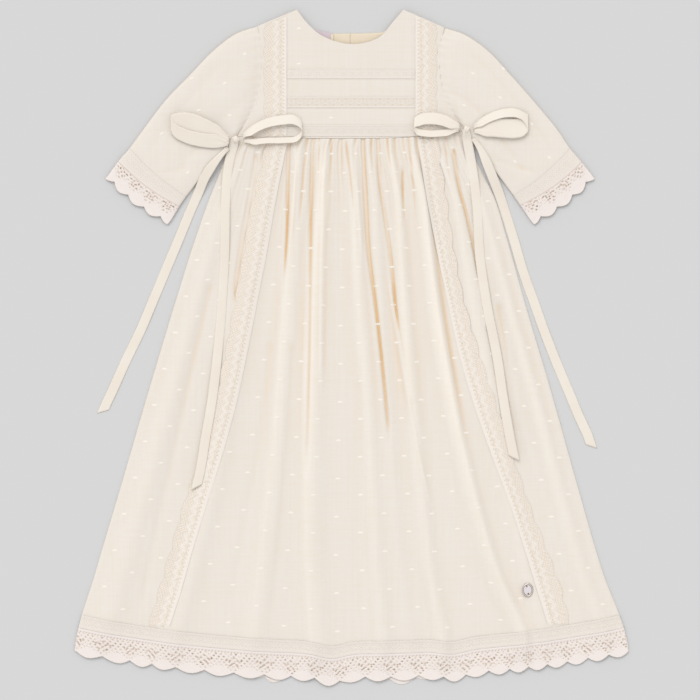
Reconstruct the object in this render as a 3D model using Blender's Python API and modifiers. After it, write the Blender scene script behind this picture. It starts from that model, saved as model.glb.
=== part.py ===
"""Christening gown lying flat: a plumeti cotton gown with lace insertions, lace edgings and ribbon bows.

The neck points to +Y, the gown's own right-hand side to -X as seen from above, and +Z is up.
Sizes below are millimetres. Every cloth piece is an open surface of points, given its wall by Solidify.
"""

import functools
import math

import bmesh
import bpy
import numpy as np

MM = 0.001

# Walls and gaps
WALL = 1.0
SEAM = 0.3
WAIST_GAP = 0.6
BACK_TOP = WALL
FRONT_EDGE = 2.0 * WALL + SEAM
LIFT = SEAM + WALL
RIBBON_WIDTH = 10.0

# Waist seam and the top edge of the hem insertion
WAIST = (
    # across, along
    (-118.0, 219.0),
    (-60.0, 217.5),
    (0.0, 217.0),
    (60.0, 218.5),
    (118.0, 225.0),
)
HEM_HALF = 281.0
HEM_SIDE = -276.0
HEM_MIDDLE = -303.0
HEM_CURVE = 2.1
HEM_DIPS = (
    # across, drop, half width
    (-20.0, 5.0, 16.0),
    (104.0, 3.5, 16.0),
)

# Side edges of the skirt
SKIRT_EDGES = (
    # along, left, right
    (226.0, -114.0, 117.0),
    (206.0, -127.0, 123.5),
    (190.0, -133.0, 131.0),
    (160.0, -145.0, 146.0),
    (112.0, -162.0, 161.0),
    (50.0, -181.5, 178.5),
    (-43.0, -209.5, 206.0),
    (-136.0, -236.5, 232.0),
    (-229.0, -264.0, 259.0),
    (-306.0, -285.5, 285.5),
    (-350.0, -287.0, 287.0),
)

# Crests of the skirt's folds: place is the share of the skirt's width from its left edge
FOLDS = (
    # place at waist, middle, hem; height at waist, middle, hem; left slope, right slope
    (0.060, 0.055, 0.050, 2.0, 3.5, 4.0, 15.0, 13.0),
    (0.200, 0.205, 0.180, 3.5, 4.0, 4.0, 12.0, 11.0),
    (0.285, 0.325, 0.320, 4.5, 5.0, 4.5, 8.0, 15.0),
    (0.384, 0.398, 0.430, 5.5, 6.5, 6.5, 7.0, 14.0),
    (0.490, 0.540, 0.556, 4.5, 4.5, 4.5, 9.0, 9.0),
    (0.575, 0.590, 0.605, 4.0, 3.0, 2.5, 8.0, 8.0),
    (0.664, 0.652, 0.664, 5.5, 5.5, 6.0, 8.0, 8.0),
    (0.760, 0.752, 0.814, 5.5, 7.0, 7.0, 12.0, 5.5),
    (0.870, 0.846, 0.850, 4.0, 4.0, 4.0, 9.0, 11.0),
    (0.950, 0.953, 0.958, 2.5, 4.5, 4.5, 10.0, 9.0),
)
FOLD_HEIGHT = 1.0
SIDE_ROLL = 16.0
GATHERS = 30
GATHER_HEIGHT = 1.2
GATHER_REACH = 0.075
FOLD_RISE = 0.07
WAIST_SHARE = 0.45

SKIRT_COLUMNS = 92
BACK_COLUMNS = 20
SKIRT_ROWS = (0.0, 0.02, 0.05, 0.095, 0.16, 0.25, 0.36, 0.48, 0.61, 0.74, 0.87, 1.0)

# Lace down the skirt, from the waist to just above the hem insertion
SKIRT_LACE = {
    "left": (
        # along, scalloped edge, straight edge
        (215.0, -88.0, -66.0),
        (154.0, -103.0, -78.0),
        (102.0, -112.0, -87.0),
        (50.0, -121.0, -97.0),
        (-1.0, -131.0, -107.0),
        (-53.0, -142.0, -118.0),
        (-105.0, -157.0, -132.0),
        (-156.0, -173.0, -148.0),
        (-208.0, -188.0, -164.0),
        (-260.0, -203.0, -179.0),
        (-287.0, -211.0, -188.0),
    ),
    "right": (
        (217.0, 90.0, 68.0),
        (154.0, 99.0, 78.0),
        (102.0, 107.0, 88.0),
        (50.0, 117.0, 99.0),
        (-1.0, 132.0, 110.0),
        (-53.0, 149.0, 125.0),
        (-105.0, 166.0, 143.0),
        (-156.0, 183.0, 162.0),
        (-208.0, 203.0, 179.0),
        (-260.0, 221.0, 195.0),
        (-285.0, 226.0, 203.0),
    ),
}
SKIRT_LACE_SCALLOPS = 18
SKIRT_LACE_DEPTH = 4.0
LACE_CLEAR = 0.8
LACE_REACH = 2.5

# Hem: insertion band, then scalloped edging
HEM_BAND = 12.4
HEM_CUSP = 36.0
HEM_TIP = 41.0
HEM_SCALLOPS = 22
HEM_COLUMNS = 88
BACK_HEM_LIFT = 3.0
BACK_PEEKS = (
    # across, drop, half width
    (-84.0, 7.0, 14.0),
    (52.0, 7.0, 26.0),
)

# Sleeves: each row runs from the top edge to the under edge
SLEEVES = {
    "left": (
        # top across, top along, under across, under along, bow to the body, height
        (-97.7, 333.3, -118.4, 219.5, 13.0, 4.8),
        (-120.5, 325.0, -124.8, 211.8, 8.0, 5.6),
        (-144.0, 307.0, -132.8, 202.0, 4.0, 5.8),
        (-168.0, 282.0, -144.0, 189.0, 1.0, 5.6),
        (-192.0, 257.0, -156.5, 176.0, -1.0, 5.2),
        (-214.6, 227.5, -166.0, 163.5, -2.0, 4.8),
        (-229.5, 207.0, -171.0, 157.0, -3.0, 4.5),
        (-240.0, 195.0, -177.0, 148.5, -3.5, 4.3),
        (-250.5, 180.5, -186.5, 133.0, -4.0, 4.0),
    ),
    "right": (
        (96.7, 331.7, 117.4, 225.2, 14.0, 4.8),
        (118.4, 324.0, 122.8, 217.5, 9.0, 5.6),
        (142.2, 307.0, 130.8, 206.0, 4.0, 5.8),
        (165.4, 282.0, 141.0, 192.5, 1.0, 5.6),
        (188.2, 256.2, 154.0, 176.0, -1.0, 5.2),
        (212.0, 227.5, 163.0, 164.0, -2.0, 4.8),
        (225.9, 207.0, 167.5, 158.0, -3.0, 4.5),
        (236.8, 194.2, 173.5, 149.5, -3.5, 4.3),
        (247.5, 180.5, 185.0, 133.0, -4.0, 4.0),
    ),
}
SLEEVE_FOOT = 185.0
SLEEVE_HEIGHT = 5.8
SLEEVE_BAND_ROW = 6
SLEEVE_FELL_ROW = 7
SLEEVE_END_ROW = 8
SEAM_SHARES = (0.0, 0.06, 0.16, 0.3, 0.44, 0.58, 0.72, 0.86, 0.945, 1.0)
EDGE_SHARE = 0.012
CUFF_SCALLOPS = 4
CUFF_SCALLOP_DEPTH = 6.0
CUFF_STEPS = 4

# Neck edges, from the left shoulder to the right
FRONT_NECK = (
    # across, along
    (-56.4, 350.3),
    (-47.0, 337.9),
    (-33.6, 325.5),
    (-18.5, 318.3),
    (-2.0, 314.8),
    (14.0, 316.2),
    (29.5, 322.4),
    (42.9, 337.9),
    (53.8, 350.3),
)
BACK_NECK = (
    (-56.4, 350.3),
    (-50.1, 340.0),
    (-40.8, 331.2),
    (-30.5, 327.6),
    (-0.5, 326.0),
    (19.1, 326.5),
    (35.7, 328.6),
    (46.0, 340.0),
    (53.8, 350.3),
)
SHOULDER_STEPS = 4
NECK_STEPS = 14
BODICE_CROWN = 1.9

# Trims on the yoke
YOKE_LACE = {
    # scalloped edge, straight edge
    "left": (-91.0, -67.0),
    "right": (88.8, 66.0),
}
YOKE_LACE_SCALLOPS = 6
YOKE_LACE_DEPTH = 2.6
YOKE_LACE_FOOT = 219.6
YOKE_BANDS = {
    # upper edge, lower edge
    "yoke_insertion_upper": (288.5, 279.0),
    "yoke_insertion_middle": (260.5, 249.0),
    "waist_insertion": (229.3, 219.4),
}
YOKE_BAND_SPAN = (-66.5, 65.5)

# Closing strip and label on the inside of the back
PLACKET_HALF = 7.0
PLACKET_TOP = 324.5
LABEL_LEFT = -43.5
LABEL_RIGHT = -19.0
LABEL_TOP = (331.0, 325.5)
LABEL_DROP = 14.0

# Ribbon bows: loops stand on their lower edge and lean over
PINCH = 0.45
PINCH_LENGTH = 14.0
BOW_STEPS = 26
RIBBON_WALL = 1.0
BOWS = {
    # lean, height of the lower edge, then the route: across, along
    "bow_left_loop_outer": (
        1.0,
        8.2,
        (
            (-126.5, 216.0),
            (-134.0, 220.0),
            (-148.5, 227.5),
            (-161.0, 233.0),
            (-173.0, 235.0),
            (-182.0, 233.0),
            (-186.5, 227.0),
            (-183.0, 219.0),
            (-172.0, 212.5),
            (-157.0, 208.5),
            (-140.0, 207.0),
            (-127.5, 209.5),
        ),
    ),
    "bow_left_loop_inner": (
        -1.0,
        6.7,
        (
            (-112.5, 221.5),
            (-103.0, 230.0),
            (-90.0, 237.0),
            (-72.0, 241.0),
            (-58.5, 241.0),
            (-52.0, 235.0),
            (-51.5, 228.0),
            (-56.0, 223.0),
            (-69.0, 221.0),
            (-90.0, 220.5),
            (-111.5, 217.0),
        ),
    ),
    "bow_right_loop_outer": (
        -1.0,
        7.3,
        (
            (125.5, 230.5),
            (134.5, 238.5),
            (146.0, 244.5),
            (159.0, 248.0),
            (171.0, 247.5),
            (179.5, 242.5),
            (182.0, 235.0),
            (178.0, 228.5),
            (169.0, 226.0),
            (156.0, 226.5),
            (142.0, 227.5),
            (126.5, 226.5),
        ),
    ),
    "bow_right_loop_inner": (
        -1.0,
        6.4,
        (
            (111.5, 232.0),
            (99.0, 240.5),
            (83.0, 244.0),
            (71.0, 242.5),
            (64.5, 236.5),
            (66.5, 230.5),
            (78.0, 227.5),
            (97.0, 228.0),
            (110.5, 228.0),
        ),
    ),
}
LEAN = math.radians(62.0)
KNOTS = {
    # across, along, height of the underside, turn in degrees
    "bow_left_knot": (-119.4, 216.2, 5.2, 35.0),
    "bow_right_knot": (118.6, 226.4, 6.0, -25.0),
}
KNOT_SIZE = (10.0, 8.0, 6.0)

# Ribbon tails on the skirt: their height follows what lies under them
SKIRT_TAILS = {
    "bow_left_tail_skirt": (
        # across, along
        (-121.0, 208.5),
        (-125.0, 197.0),
        (-128.0, 185.0),
        (-130.0, 154.0),
        (-131.0, 102.0),
        (-133.0, 61.0),
        (-136.0, 19.0),
        (-139.0, -12.0),
        (-144.0, -53.0),
        (-151.0, -94.0),
        (-156.0, -125.0),
        (-160.0, -143.0),
    ),
    "bow_right_tail_skirt": (
        (119.0, 219.0),
        (121.0, 206.0),
        (124.0, 190.0),
        (129.0, 154.0),
        (133.0, 92.0),
        (139.0, 50.0),
        (151.0, -12.0),
        (157.0, -53.0),
        (164.0, -94.0),
        (168.0, -113.0),
    ),
}
# Ribbon tails beside the skirt: they come down from the knot to the surface
SIDE_TAILS = {
    "bow_left_tail_side": (
        # across, along, height of the underside
        (-127.5, 207.5, 6.3),
        (-135.0, 195.5, 6.5),
        (-145.0, 184.5, 6.4),
        (-151.5, 174.0, 3.4),
        (-157.0, 159.0, 0.9),
        (-164.0, 144.0, 0.3),
        (-179.0, 112.0, 0.3),
        (-192.0, 81.0, 0.3),
        (-205.0, 50.0, 0.3),
        (-218.0, 19.0, 0.3),
        (-233.0, -12.0, 0.3),
        (-247.0, -43.0, 0.3),
        (-254.0, -58.0, 0.3),
        (-257.0, -65.0, 0.3),
    ),
    "bow_right_tail_side": (
        (125.5, 217.5, 6.3),
        (133.0, 206.0, 6.5),
        (140.0, 191.0, 6.5),
        (146.0, 176.5, 4.6),
        (153.0, 159.0, 1.3),
        (158.0, 144.0, 0.3),
        (168.0, 112.0, 0.3),
        (177.0, 81.0, 0.3),
        (188.0, 50.0, 0.3),
        (199.0, 19.0, 0.3),
        (211.0, -12.0, 0.3),
        (224.0, -43.0, 0.3),
        (237.0, -74.0, 0.3),
        (244.0, -89.0, 0.3),
        (248.0, -101.0, 0.3),
    ),
}
TAIL_STEPS = 30
TAIL_CLEAR = 0.7

# Oval metal charm sewn near the right hem
CHARM_AT = (181.8, -249.0)
CHARM_HALF = (5.5, 7.0)
CHARM_THICK = 1.2
CHARM_HOLES = ((-1.0, 4.2), (1.0, -4.0))
CHARM_HOLE = 1.1
CHARM_SIDES = 28
HOLE_SIDES = 10

COTTON = (0.87, 0.82, 0.74)
LACE = (0.90, 0.84, 0.74)
SATIN = (0.92, 0.87, 0.78)
LABEL = (0.58, 0.50, 0.54)
METAL = (0.62, 0.60, 0.57)


def smooth_step(value):
    value = np.clip(value, 0.0, 1.0)
    return value * value * (3.0 - 2.0 * value)


def through(rows, at, column=1):
    """A smooth curve through one column of a table, read at a value of its first column."""
    keys = np.array([row[0] for row in rows])
    values = np.array([row[column] for row in rows])
    if keys[0] > keys[-1]:
        keys = keys[::-1]
        values = values[::-1]
    slopes = np.gradient(values, keys)
    at = float(np.clip(at, keys[0], keys[-1]))
    i = int(np.clip(np.searchsorted(keys, at) - 1, 0, len(keys) - 2))
    span = keys[i + 1] - keys[i]
    t = (at - keys[i]) / span
    curve = span * (slopes[i] * t * (1.0 - t) ** 2 - slopes[i + 1] * t * t * (1.0 - t))
    return values[i] + (values[i + 1] - values[i]) * t * t * (3.0 - 2.0 * t) + curve


def route(points, steps):
    """Points evenly spaced along a smooth curve through a short list of points."""
    points = np.array(points, float)
    reach = np.concatenate([[0.0], np.cumsum(np.linalg.norm(np.diff(points, axis=0), axis=1))])
    rows = [(r, *p) for r, p in zip(reach, points)]
    width = points.shape[1]
    return np.array(
        [
            [through(rows, reach[-1] * k / steps, column + 1) for column in range(width)]
            for k in range(steps + 1)
        ]
    )


def waist_line(across):
    return through(WAIST, across)


def hem_line(across):
    share = min(abs(across) / HEM_HALF, 1.0)
    along = HEM_SIDE + (HEM_MIDDLE - HEM_SIDE) * (1.0 - share**HEM_CURVE)
    return along - sum(drop * math.exp(-(((across - at) / wide) ** 2)) for at, drop, wide in HEM_DIPS)


def skirt_sides(along):
    return through(SKIRT_EDGES, along, 1), through(SKIRT_EDGES, along, 2)


def skirt_point(place, down):
    """Across and along of a point at a share of the skirt's width and of its length."""
    top = waist_line(WAIST[0][0] + (WAIST[-1][0] - WAIST[0][0]) * place)
    foot = hem_line(HEM_HALF * (2.0 * place - 1.0))
    along = top + (foot - top) * down
    left, right = skirt_sides(along)
    return left + (right - left) * place, along


def three_way(first, middle, last, share):
    """The parabola through three values, at the start, the middle and the end."""
    return (
        first * (1.0 - share) * (1.0 - 2.0 * share)
        + middle * 4.0 * share * (1.0 - share)
        + last * share * (2.0 * share - 1.0)
    )


def skirt_top(across, along):
    """Height of the skirt front's upper side."""
    left, right = skirt_sides(along)
    width = right - left
    place = (across - left) / width
    top = waist_line(across)
    down = max((top - along) / (top - hem_line(across)), 0.0)
    share = min(down, 1.0)
    middle_left, middle_right = skirt_sides(-43.0)
    spread = (width / (middle_right - middle_left)) ** 0.7
    height = 0.0
    for at_0, at_1, at_2, high_0, high_1, high_2, wide_left, wide_right in FOLDS:
        offset = (place - three_way(at_0, at_1, at_2, share)) * width
        wide = (wide_left if offset < 0.0 else wide_right) * spread
        high = three_way(high_0, high_1, high_2, share)
        height += high * math.exp(-((offset / wide) ** 2))
    height *= FOLD_HEIGHT * (WAIST_SHARE + (1.0 - WAIST_SHARE) * smooth_step(down / FOLD_RISE))
    drift = 0.8 * math.sin(9.0 * place) + 0.5 * math.sin(23.0 * place + 1.0)
    ripple = 1.0 + math.cos(2.0 * math.pi * GATHERS * place + drift)
    height += 0.5 * GATHER_HEIGHT * ripple * math.exp(-down / GATHER_REACH)
    from_side = min(place, 1.0 - place) * width
    height *= 1.0 - 0.3 * smooth_step((down - 1.0) / 0.08)
    return FRONT_EDGE + height * smooth_step(from_side / SIDE_ROLL)


@functools.cache
def skirt_heights():
    """Heights of the skirt front's own points, a row for each of its rows."""
    return [
        [skirt_top(*skirt_point(c / SKIRT_COLUMNS, down)) for c in range(SKIRT_COLUMNS + 1)]
        for down in SKIRT_ROWS
    ]


def skirt_surface(across, along):
    """Height of the skirt front's faces, which run straight between its points."""
    left, right = skirt_sides(along)
    place = float(np.clip((across - left) / (right - left), 0.0, 0.9999))
    top = waist_line(WAIST[0][0] + (WAIST[-1][0] - WAIST[0][0]) * place)
    foot = hem_line(HEM_HALF * (2.0 * place - 1.0))
    down = float(np.clip((along - top) / (foot - top), 0.0, 0.9999))
    heights = skirt_heights()
    c, c_share = divmod(place * SKIRT_COLUMNS, 1.0)
    r = int(np.searchsorted(SKIRT_ROWS, down, side="right")) - 1
    r_share = (down - SKIRT_ROWS[r]) / (SKIRT_ROWS[r + 1] - SKIRT_ROWS[r])
    c = int(c)
    above = heights[r][c] * (1.0 - c_share) + heights[r][c + 1] * c_share
    below = heights[r + 1][c] * (1.0 - c_share) + heights[r + 1][c + 1] * c_share
    return above * (1.0 - r_share) + below * r_share


def lace_bed(across, along):
    """The highest of the skirt's faces close to a point, since lace bridges the sharpest dips."""
    return max(skirt_surface(across + step, along) for step in (-LACE_REACH, 0.0, LACE_REACH))


def armhole(side, share):
    return sleeve_point(side, 0, share)


def sleeve_point(side, row, share):
    """Across and along of a point on a sleeve's row, at a share from its top edge to its under edge."""
    top_x, top_y, under_x, under_y, bow, _ = SLEEVES[side][row]
    length = math.hypot(under_x - top_x, under_y - top_y)
    inward = 1.0 if side == "left" else -1.0
    normal = (
        -(under_y - top_y) / length * inward,
        (under_x - top_x) / length * inward,
    )
    reach = bow * 4.0 * share * (1.0 - share)
    return (
        top_x + (under_x - top_x) * share + normal[0] * reach,
        top_y + (under_y - top_y) * share + normal[1] * reach,
    )


def bodice_sides(along):
    left = [(armhole("left", s)[1], armhole("left", s)[0]) for s in SEAM_SHARES]
    right = [(armhole("right", s)[1], armhole("right", s)[0]) for s in SEAM_SHARES]
    return through(left, along), through(right, along)


def bodice_top(across, along):
    """Height of the bodice front's upper side."""
    left, right = bodice_sides(along)
    place = float(np.clip((across - left) / (right - left), 0.0, 1.0))
    return FRONT_EDGE + BODICE_CROWN * (1.0 - abs(2.0 * place - 1.0) ** 3)


def under_at(across, along):
    """Height of what lies under a ribbon: the front's cloth, its laces, or the sleeve beside them."""
    left, right = skirt_sides(along)
    if along > SLEEVE_FOOT and not left - 3.5 < across < right + 3.5:
        return SLEEVE_HEIGHT
    if along > waist_line(across) - 1.0:
        return bodice_top(across, along) + LIFT
    height = lace_bed(across, along)
    for rows in SKIRT_LACE.values():
        scalloped = through(rows, along, 1)
        straight = through(rows, along, 2)
        low, high = min(scalloped, straight), max(scalloped, straight)
        if low - 1.5 < across < high + 1.5:
            return height + LACE_CLEAR + WALL
    return height


def material(name, colour, roughness, metallic=0.0):
    made = bpy.data.materials.new(name)
    made.use_nodes = True
    shader = made.node_tree.nodes["Principled BSDF"]
    shader.inputs["Base Color"].default_value = (*colour, 1.0)
    shader.inputs["Roughness"].default_value = roughness
    shader.inputs["Metallic"].default_value = metallic
    made.diffuse_color = (*colour, 1.0)
    return made


def add_object(name, mesh, colour, roughness=0.85, metallic=0.0):
    made = bpy.data.objects.new(name, mesh)
    mesh.materials.append(material(name, colour, roughness, metallic))
    bpy.data.collections["christening_gown"].objects.link(made)
    return made


def grid_mesh(name, rows, closed=False):
    """A mesh of four-sided faces over rows of points; closed joins each row's ends."""
    rows = np.array(rows, float)
    count, wide = rows.shape[:2]
    shape = bmesh.new()
    points = [[shape.verts.new(tuple(p * MM)) for p in row] for row in rows]
    for r in range(count - 1):
        for c in range(wide if closed else wide - 1):
            d = (c + 1) % wide
            shape.faces.new((points[r][c], points[r + 1][c], points[r + 1][d], points[r][d]))
    mesh = bpy.data.meshes.new(name)
    shape.to_mesh(mesh)
    shape.free()
    mesh.shade_smooth()
    return mesh


def cloth(name, rows, colour, wall=WALL, closed=False, roughness=0.85):
    """A piece of cloth: its upper side through rows of points, and its wall below them."""
    made = add_object(name, grid_mesh(name, rows, closed), colour, roughness)
    thick = made.modifiers.new("wall", "SOLIDIFY")
    thick.thickness = wall * MM
    thick.offset = -1.0
    return made


def laid_on(points, top, lift):
    return [[(x, y, top(x, y) + lift) for x, y in row] for row in points]


def skirt_front():
    rows = [
        [skirt_point(c / SKIRT_COLUMNS, down) for c in range(SKIRT_COLUMNS + 1)]
        for down in SKIRT_ROWS
    ]
    cloth("skirt_front", laid_on(rows, skirt_top, 0.0), COTTON)


def flat_piece(name, rings, thick, place, colour, roughness=0.85, metallic=0.0):
    """A flat piece: its outline, then its holes, filled and given a thickness above place."""
    curve = bpy.data.curves.new(name, "CURVE")
    curve.dimensions = "2D"
    curve.fill_mode = "BOTH"
    curve.extrude = 0.5 * thick * MM
    for ring in rings:
        line = curve.splines.new("POLY")
        line.points.add(len(ring) - 1)
        line.use_cyclic_u = True
        for point, (x, y) in zip(line.points, ring):
            point.co = (x * MM, y * MM, 0.0, 1.0)
    made = bpy.data.objects.new(name, curve)
    curve.materials.append(material(name, colour, roughness, metallic))
    bpy.data.collections["christening_gown"].objects.link(made)
    made.location = (place[0] * MM, place[1] * MM, (place[2] + 0.5 * thick) * MM)
    return made


def skirt_back():
    foot = [skirt_point(c / HEM_COLUMNS, 1.0) for c in range(HEM_COLUMNS + 1)]
    top = [skirt_point(c / BACK_COLUMNS, 0.0) for c in range(BACK_COLUMNS, -1, -1)]
    left = [skirt_point(0.0, down) for down in SKIRT_ROWS[1:-1]]
    right = [skirt_point(1.0, down) for down in SKIRT_ROWS[-2:0:-1]]
    flat_piece("skirt_back", [foot + right + top + left], WALL, (0.0, 0.0, 0.0), COTTON)


def scallop(phase):
    """Depth of a scalloped edge, from 0 where two scallops meet to 1 at a tip."""
    return 1.0 - abs(2.0 * (phase % 1.0) - 1.0) ** 2.2


def hem_point(place, drop):
    foot = hem_line(HEM_HALF * (2.0 * place - 1.0)) - drop
    left, right = skirt_sides(foot)
    return left + (right - left) * place, foot


def hem_bands():
    shares = [c / HEM_COLUMNS for c in range(HEM_COLUMNS + 1)]
    upper = [hem_point(s, SEAM) for s in shares]
    lower = [hem_point(s, HEM_BAND) for s in shares]
    cloth("hem_insertion_front", laid_on([upper, lower], skirt_top, 0.0), LACE)
    rows = [[(x, y, BACK_TOP) for x, y in row] for row in (upper, lower)]
    cloth("hem_insertion_back", rows, LACE)


def hem_edgings():
    shares = [c / HEM_COLUMNS for c in range(HEM_COLUMNS + 1)]
    deep = HEM_TIP - HEM_CUSP
    upper = [hem_point(s, HEM_BAND + SEAM) for s in shares]
    middle = [hem_point(s, 0.5 * (HEM_BAND + HEM_CUSP)) for s in shares]
    lower = [hem_point(s, HEM_CUSP + deep * scallop(s * HEM_SCALLOPS)) for s in shares]
    cloth("hem_edging_front", laid_on([upper, middle, lower], skirt_top, 0.0), LACE)
    rows = [[], []]
    for s in shares:
        x, y = hem_point(s, HEM_BAND + SEAM)
        rows[0].append((x, y, BACK_TOP))
        peek = sum(drop * math.exp(-(((x - at) / wide) ** 2)) for at, drop, wide in BACK_PEEKS)
        depth = HEM_CUSP + deep * scallop(s * HEM_SCALLOPS + 0.5) - BACK_HEM_LIFT + peek
        rows[1].append((*hem_point(s, depth), BACK_TOP))
    cloth("hem_edging_back", rows, LACE)


def skirt_laces():
    for side, table in SKIRT_LACE.items():
        rows = []
        steps = SKIRT_LACE_SCALLOPS * 2
        for k in range(steps + 1):
            along = table[0][0] + (table[-1][0] - table[0][0]) * k / steps
            scalloped = through(table, along, 1)
            straight = through(table, along, 2)
            inward = math.copysign(1.0, straight - scalloped)
            scalloped += inward * SKIRT_LACE_DEPTH * (1.0 - scallop(k / 2.0))
            shares = np.linspace(0.0, 1.0, 6)
            row = [(scalloped + (straight - scalloped) * s, along) for s in shares]
            rows.append(sorted(row))
        cloth(f"skirt_lace_{side}", laid_on(rows, lace_bed, LACE_CLEAR + WALL), LACE)


def sleeve_ring(side, row, shift, depths=None):
    """The outline of a sleeve cut across: over its upper layer, then back along its under layer."""
    height = SLEEVES[side][row][5]
    crown = [(s, height) for s in SEAM_SHARES[1:-1]]
    upper = [(0.0, 0.5 * height), (EDGE_SHARE, 0.82 * height), *crown]
    upper += [(1.0 - EDGE_SHARE, 0.82 * height), (1.0, 0.5 * height)]
    under = [(1.0 - EDGE_SHARE, 0.14 * height)]
    under += [(s, 0.0) for s in SEAM_SHARES[-2:0:-1]]
    under += [(EDGE_SHARE, 0.14 * height)]
    ring = []
    for share, rise in upper + under:
        x, y = sleeve_point(side, row, share)
        out = shift if depths is None else shift + depths(share)
        dx, dy = sleeve_way(side)
        ring.append((x + dx * out, y + dy * out, rise))
    return ring if side == "left" else ring[::-1]


def sleeve_way(side):
    """The direction from the armhole to the cuff."""
    first = np.array(sleeve_point(side, 3, 0.5))
    last = np.array(sleeve_point(side, SLEEVE_FELL_ROW, 0.5))
    way = last - first
    return way / np.linalg.norm(way)


def cuff_ring(side, row, shift, depth):
    """A finer ring for the scalloped end of the cuff's lace."""
    height = SLEEVES[side][row][5]
    dx, dy = sleeve_way(side)
    steps = CUFF_SCALLOPS * CUFF_STEPS
    ring = []
    for layer in (0, 1):
        for k in range(steps):
            share = k / steps if layer == 0 else 1.0 - k / steps
            near = min(share, 1.0 - share)
            if near == 0.0:
                rise = 0.5 * height
            else:
                rise = height if layer == 0 else 0.0
            x, y = sleeve_point(side, row, share)
            out = shift + depth * scallop(share * CUFF_SCALLOPS)
            ring.append((x + dx * out, y + dy * out, rise))
    return ring if side == "left" else ring[::-1]


def sleeves():
    for side in SLEEVES:
        rings = [sleeve_ring(side, row, 0.0) for row in range(SLEEVE_BAND_ROW + 1)]
        cloth(f"sleeve_{side}", rings, COTTON, closed=True)
        rings = [
            sleeve_ring(side, SLEEVE_BAND_ROW, SEAM),
            sleeve_ring(side, SLEEVE_FELL_ROW, 0.0),
        ]
        cloth(f"cuff_insertion_{side}", rings, LACE, closed=True)
        rings = [
            cuff_ring(side, SLEEVE_FELL_ROW, SEAM, 0.0),
            cuff_ring(side, SLEEVE_END_ROW, 0.0, CUFF_SCALLOP_DEPTH),
        ]
        cloth(f"cuff_edging_{side}", rings, LACE, closed=True)


def filled_between(neck, top):
    """Rows of points that fill a bodice panel between its shoulders and neck, armholes and waist."""
    inset = 0.3
    left = [(armhole("left", s)[0] + inset, armhole("left", s)[1]) for s in SEAM_SHARES]
    right = [(armhole("right", s)[0] - inset, armhole("right", s)[1]) for s in SEAM_SHARES]
    shares = [k / SHOULDER_STEPS for k in range(SHOULDER_STEPS)]
    first = np.array(left[0]), np.array(neck[0])
    last = np.array(neck[-1]), np.array(right[0])
    upper = [first[0] + (first[1] - first[0]) * s for s in shares]
    upper += list(route(neck, NECK_STEPS))
    upper += [last[0] + (last[1] - last[0]) * s for s in shares[1:] + [1.0]]
    upper = np.array(upper)
    span = (upper[:, 0] - upper[0, 0]) / (upper[-1, 0] - upper[0, 0])
    start, end = left[-1][0], right[-1][0]
    foot = [start + (end - start) * u for u in span]
    lower = np.array([(x, waist_line(x) + WAIST_GAP) for x in foot])
    lower[0] = left[-1]
    lower[-1] = right[-1]
    rows = []
    for v, from_left, from_right in zip(SEAM_SHARES, np.array(left), np.array(right)):
        row = []
        for u, above, below in zip(span, upper, lower):
            corners = (1 - u) * ((1 - v) * upper[0] + v * lower[0])
            corners = corners + u * ((1 - v) * upper[-1] + v * lower[-1])
            point = (1 - v) * above + v * below + (1 - u) * from_left + u * from_right - corners
            row.append((point[0], point[1], top(point[0], point[1])))
        rows.append(row)
    return rows


def bodice():
    cloth("bodice_front", filled_between(FRONT_NECK, bodice_top), COTTON)
    back = filled_between(BACK_NECK, lambda x, y: BACK_TOP)
    middle = len(back[0]) // 2
    half_gap = 0.5 * SEAM
    halves = {"left": [], "right": []}
    for row in back:
        centre_along = row[middle][1]
        halves["left"].append(row[:middle] + [(-half_gap, centre_along, BACK_TOP)])
        halves["right"].append([(half_gap, centre_along, BACK_TOP)] + row[middle + 1 :])
    for side, rows in halves.items():
        cloth(f"bodice_back_{side}", rows, COTTON)


def inside_of_back():
    height = BACK_TOP + LIFT
    foot = waist_line(0.0) + 1.0
    rows = [
        [(-PLACKET_HALF, y, height), (PLACKET_HALF, y, height)] for y in (PLACKET_TOP, foot)
    ]
    cloth("back_placket", rows, COTTON)
    left_top, right_top = LABEL_TOP
    rows = [
        [(LABEL_LEFT, left_top - d, height), (LABEL_RIGHT, right_top - d, height)]
        for d in (0.0, LABEL_DROP)
    ]
    cloth("neck_label", rows, LABEL, roughness=0.4)


def yoke_trims():
    for side, (scalloped, straight) in YOKE_LACE.items():
        columns = []
        for share in (0.0, 0.33, 0.67, 1.0):
            column = []
            steps = YOKE_LACE_SCALLOPS * 4
            for k in range(steps + 1):
                x = scalloped + (straight - scalloped) * share
                end = math.copysign(1.0, x) * 97.2
                tip = abs(FRONT_NECK[0][0])
                slope = (abs(end) - abs(x)) / (abs(end) - tip)
                head = 333.0 - SEAM + 17.0 * slope - 1.5
                y = head + (YOKE_LACE_FOOT - head) * k / steps
                if side == "right":
                    foot = waist_line(x) + 1.4
                    y = head + (foot - head) * k / steps
                cut = YOKE_LACE_DEPTH * (1.0 - scallop(k / 4.0)) * (1.0 - share)
                x += math.copysign(cut, straight - scalloped)
                column.append((x, y))
            columns.append(column)
        columns.sort(key=lambda column: column[0][0])
        rows = [list(row) for row in zip(*columns)]
        cloth(f"yoke_lace_{side}", laid_on(rows, bodice_top, LIFT), LACE)
    left, right = YOKE_BAND_SPAN
    for name, (upper, lower) in YOKE_BANDS.items():
        rows = [[(left + (right - left) * k / 12, y) for k in range(13)] for y in (upper, lower)]
        cloth(name, laid_on(rows, bodice_top, LIFT), LACE)


def ribbon(name, middle, sideways, wall=RIBBON_WALL):
    """A flat ribbon along a route, its width set off to each side of the middle."""
    rows = []
    for point, side in zip(np.array(middle, float), np.array(sideways, float)):
        rows.append([point - side, point + side])
    cloth(name, rows, SATIN, wall, roughness=0.4)


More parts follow.
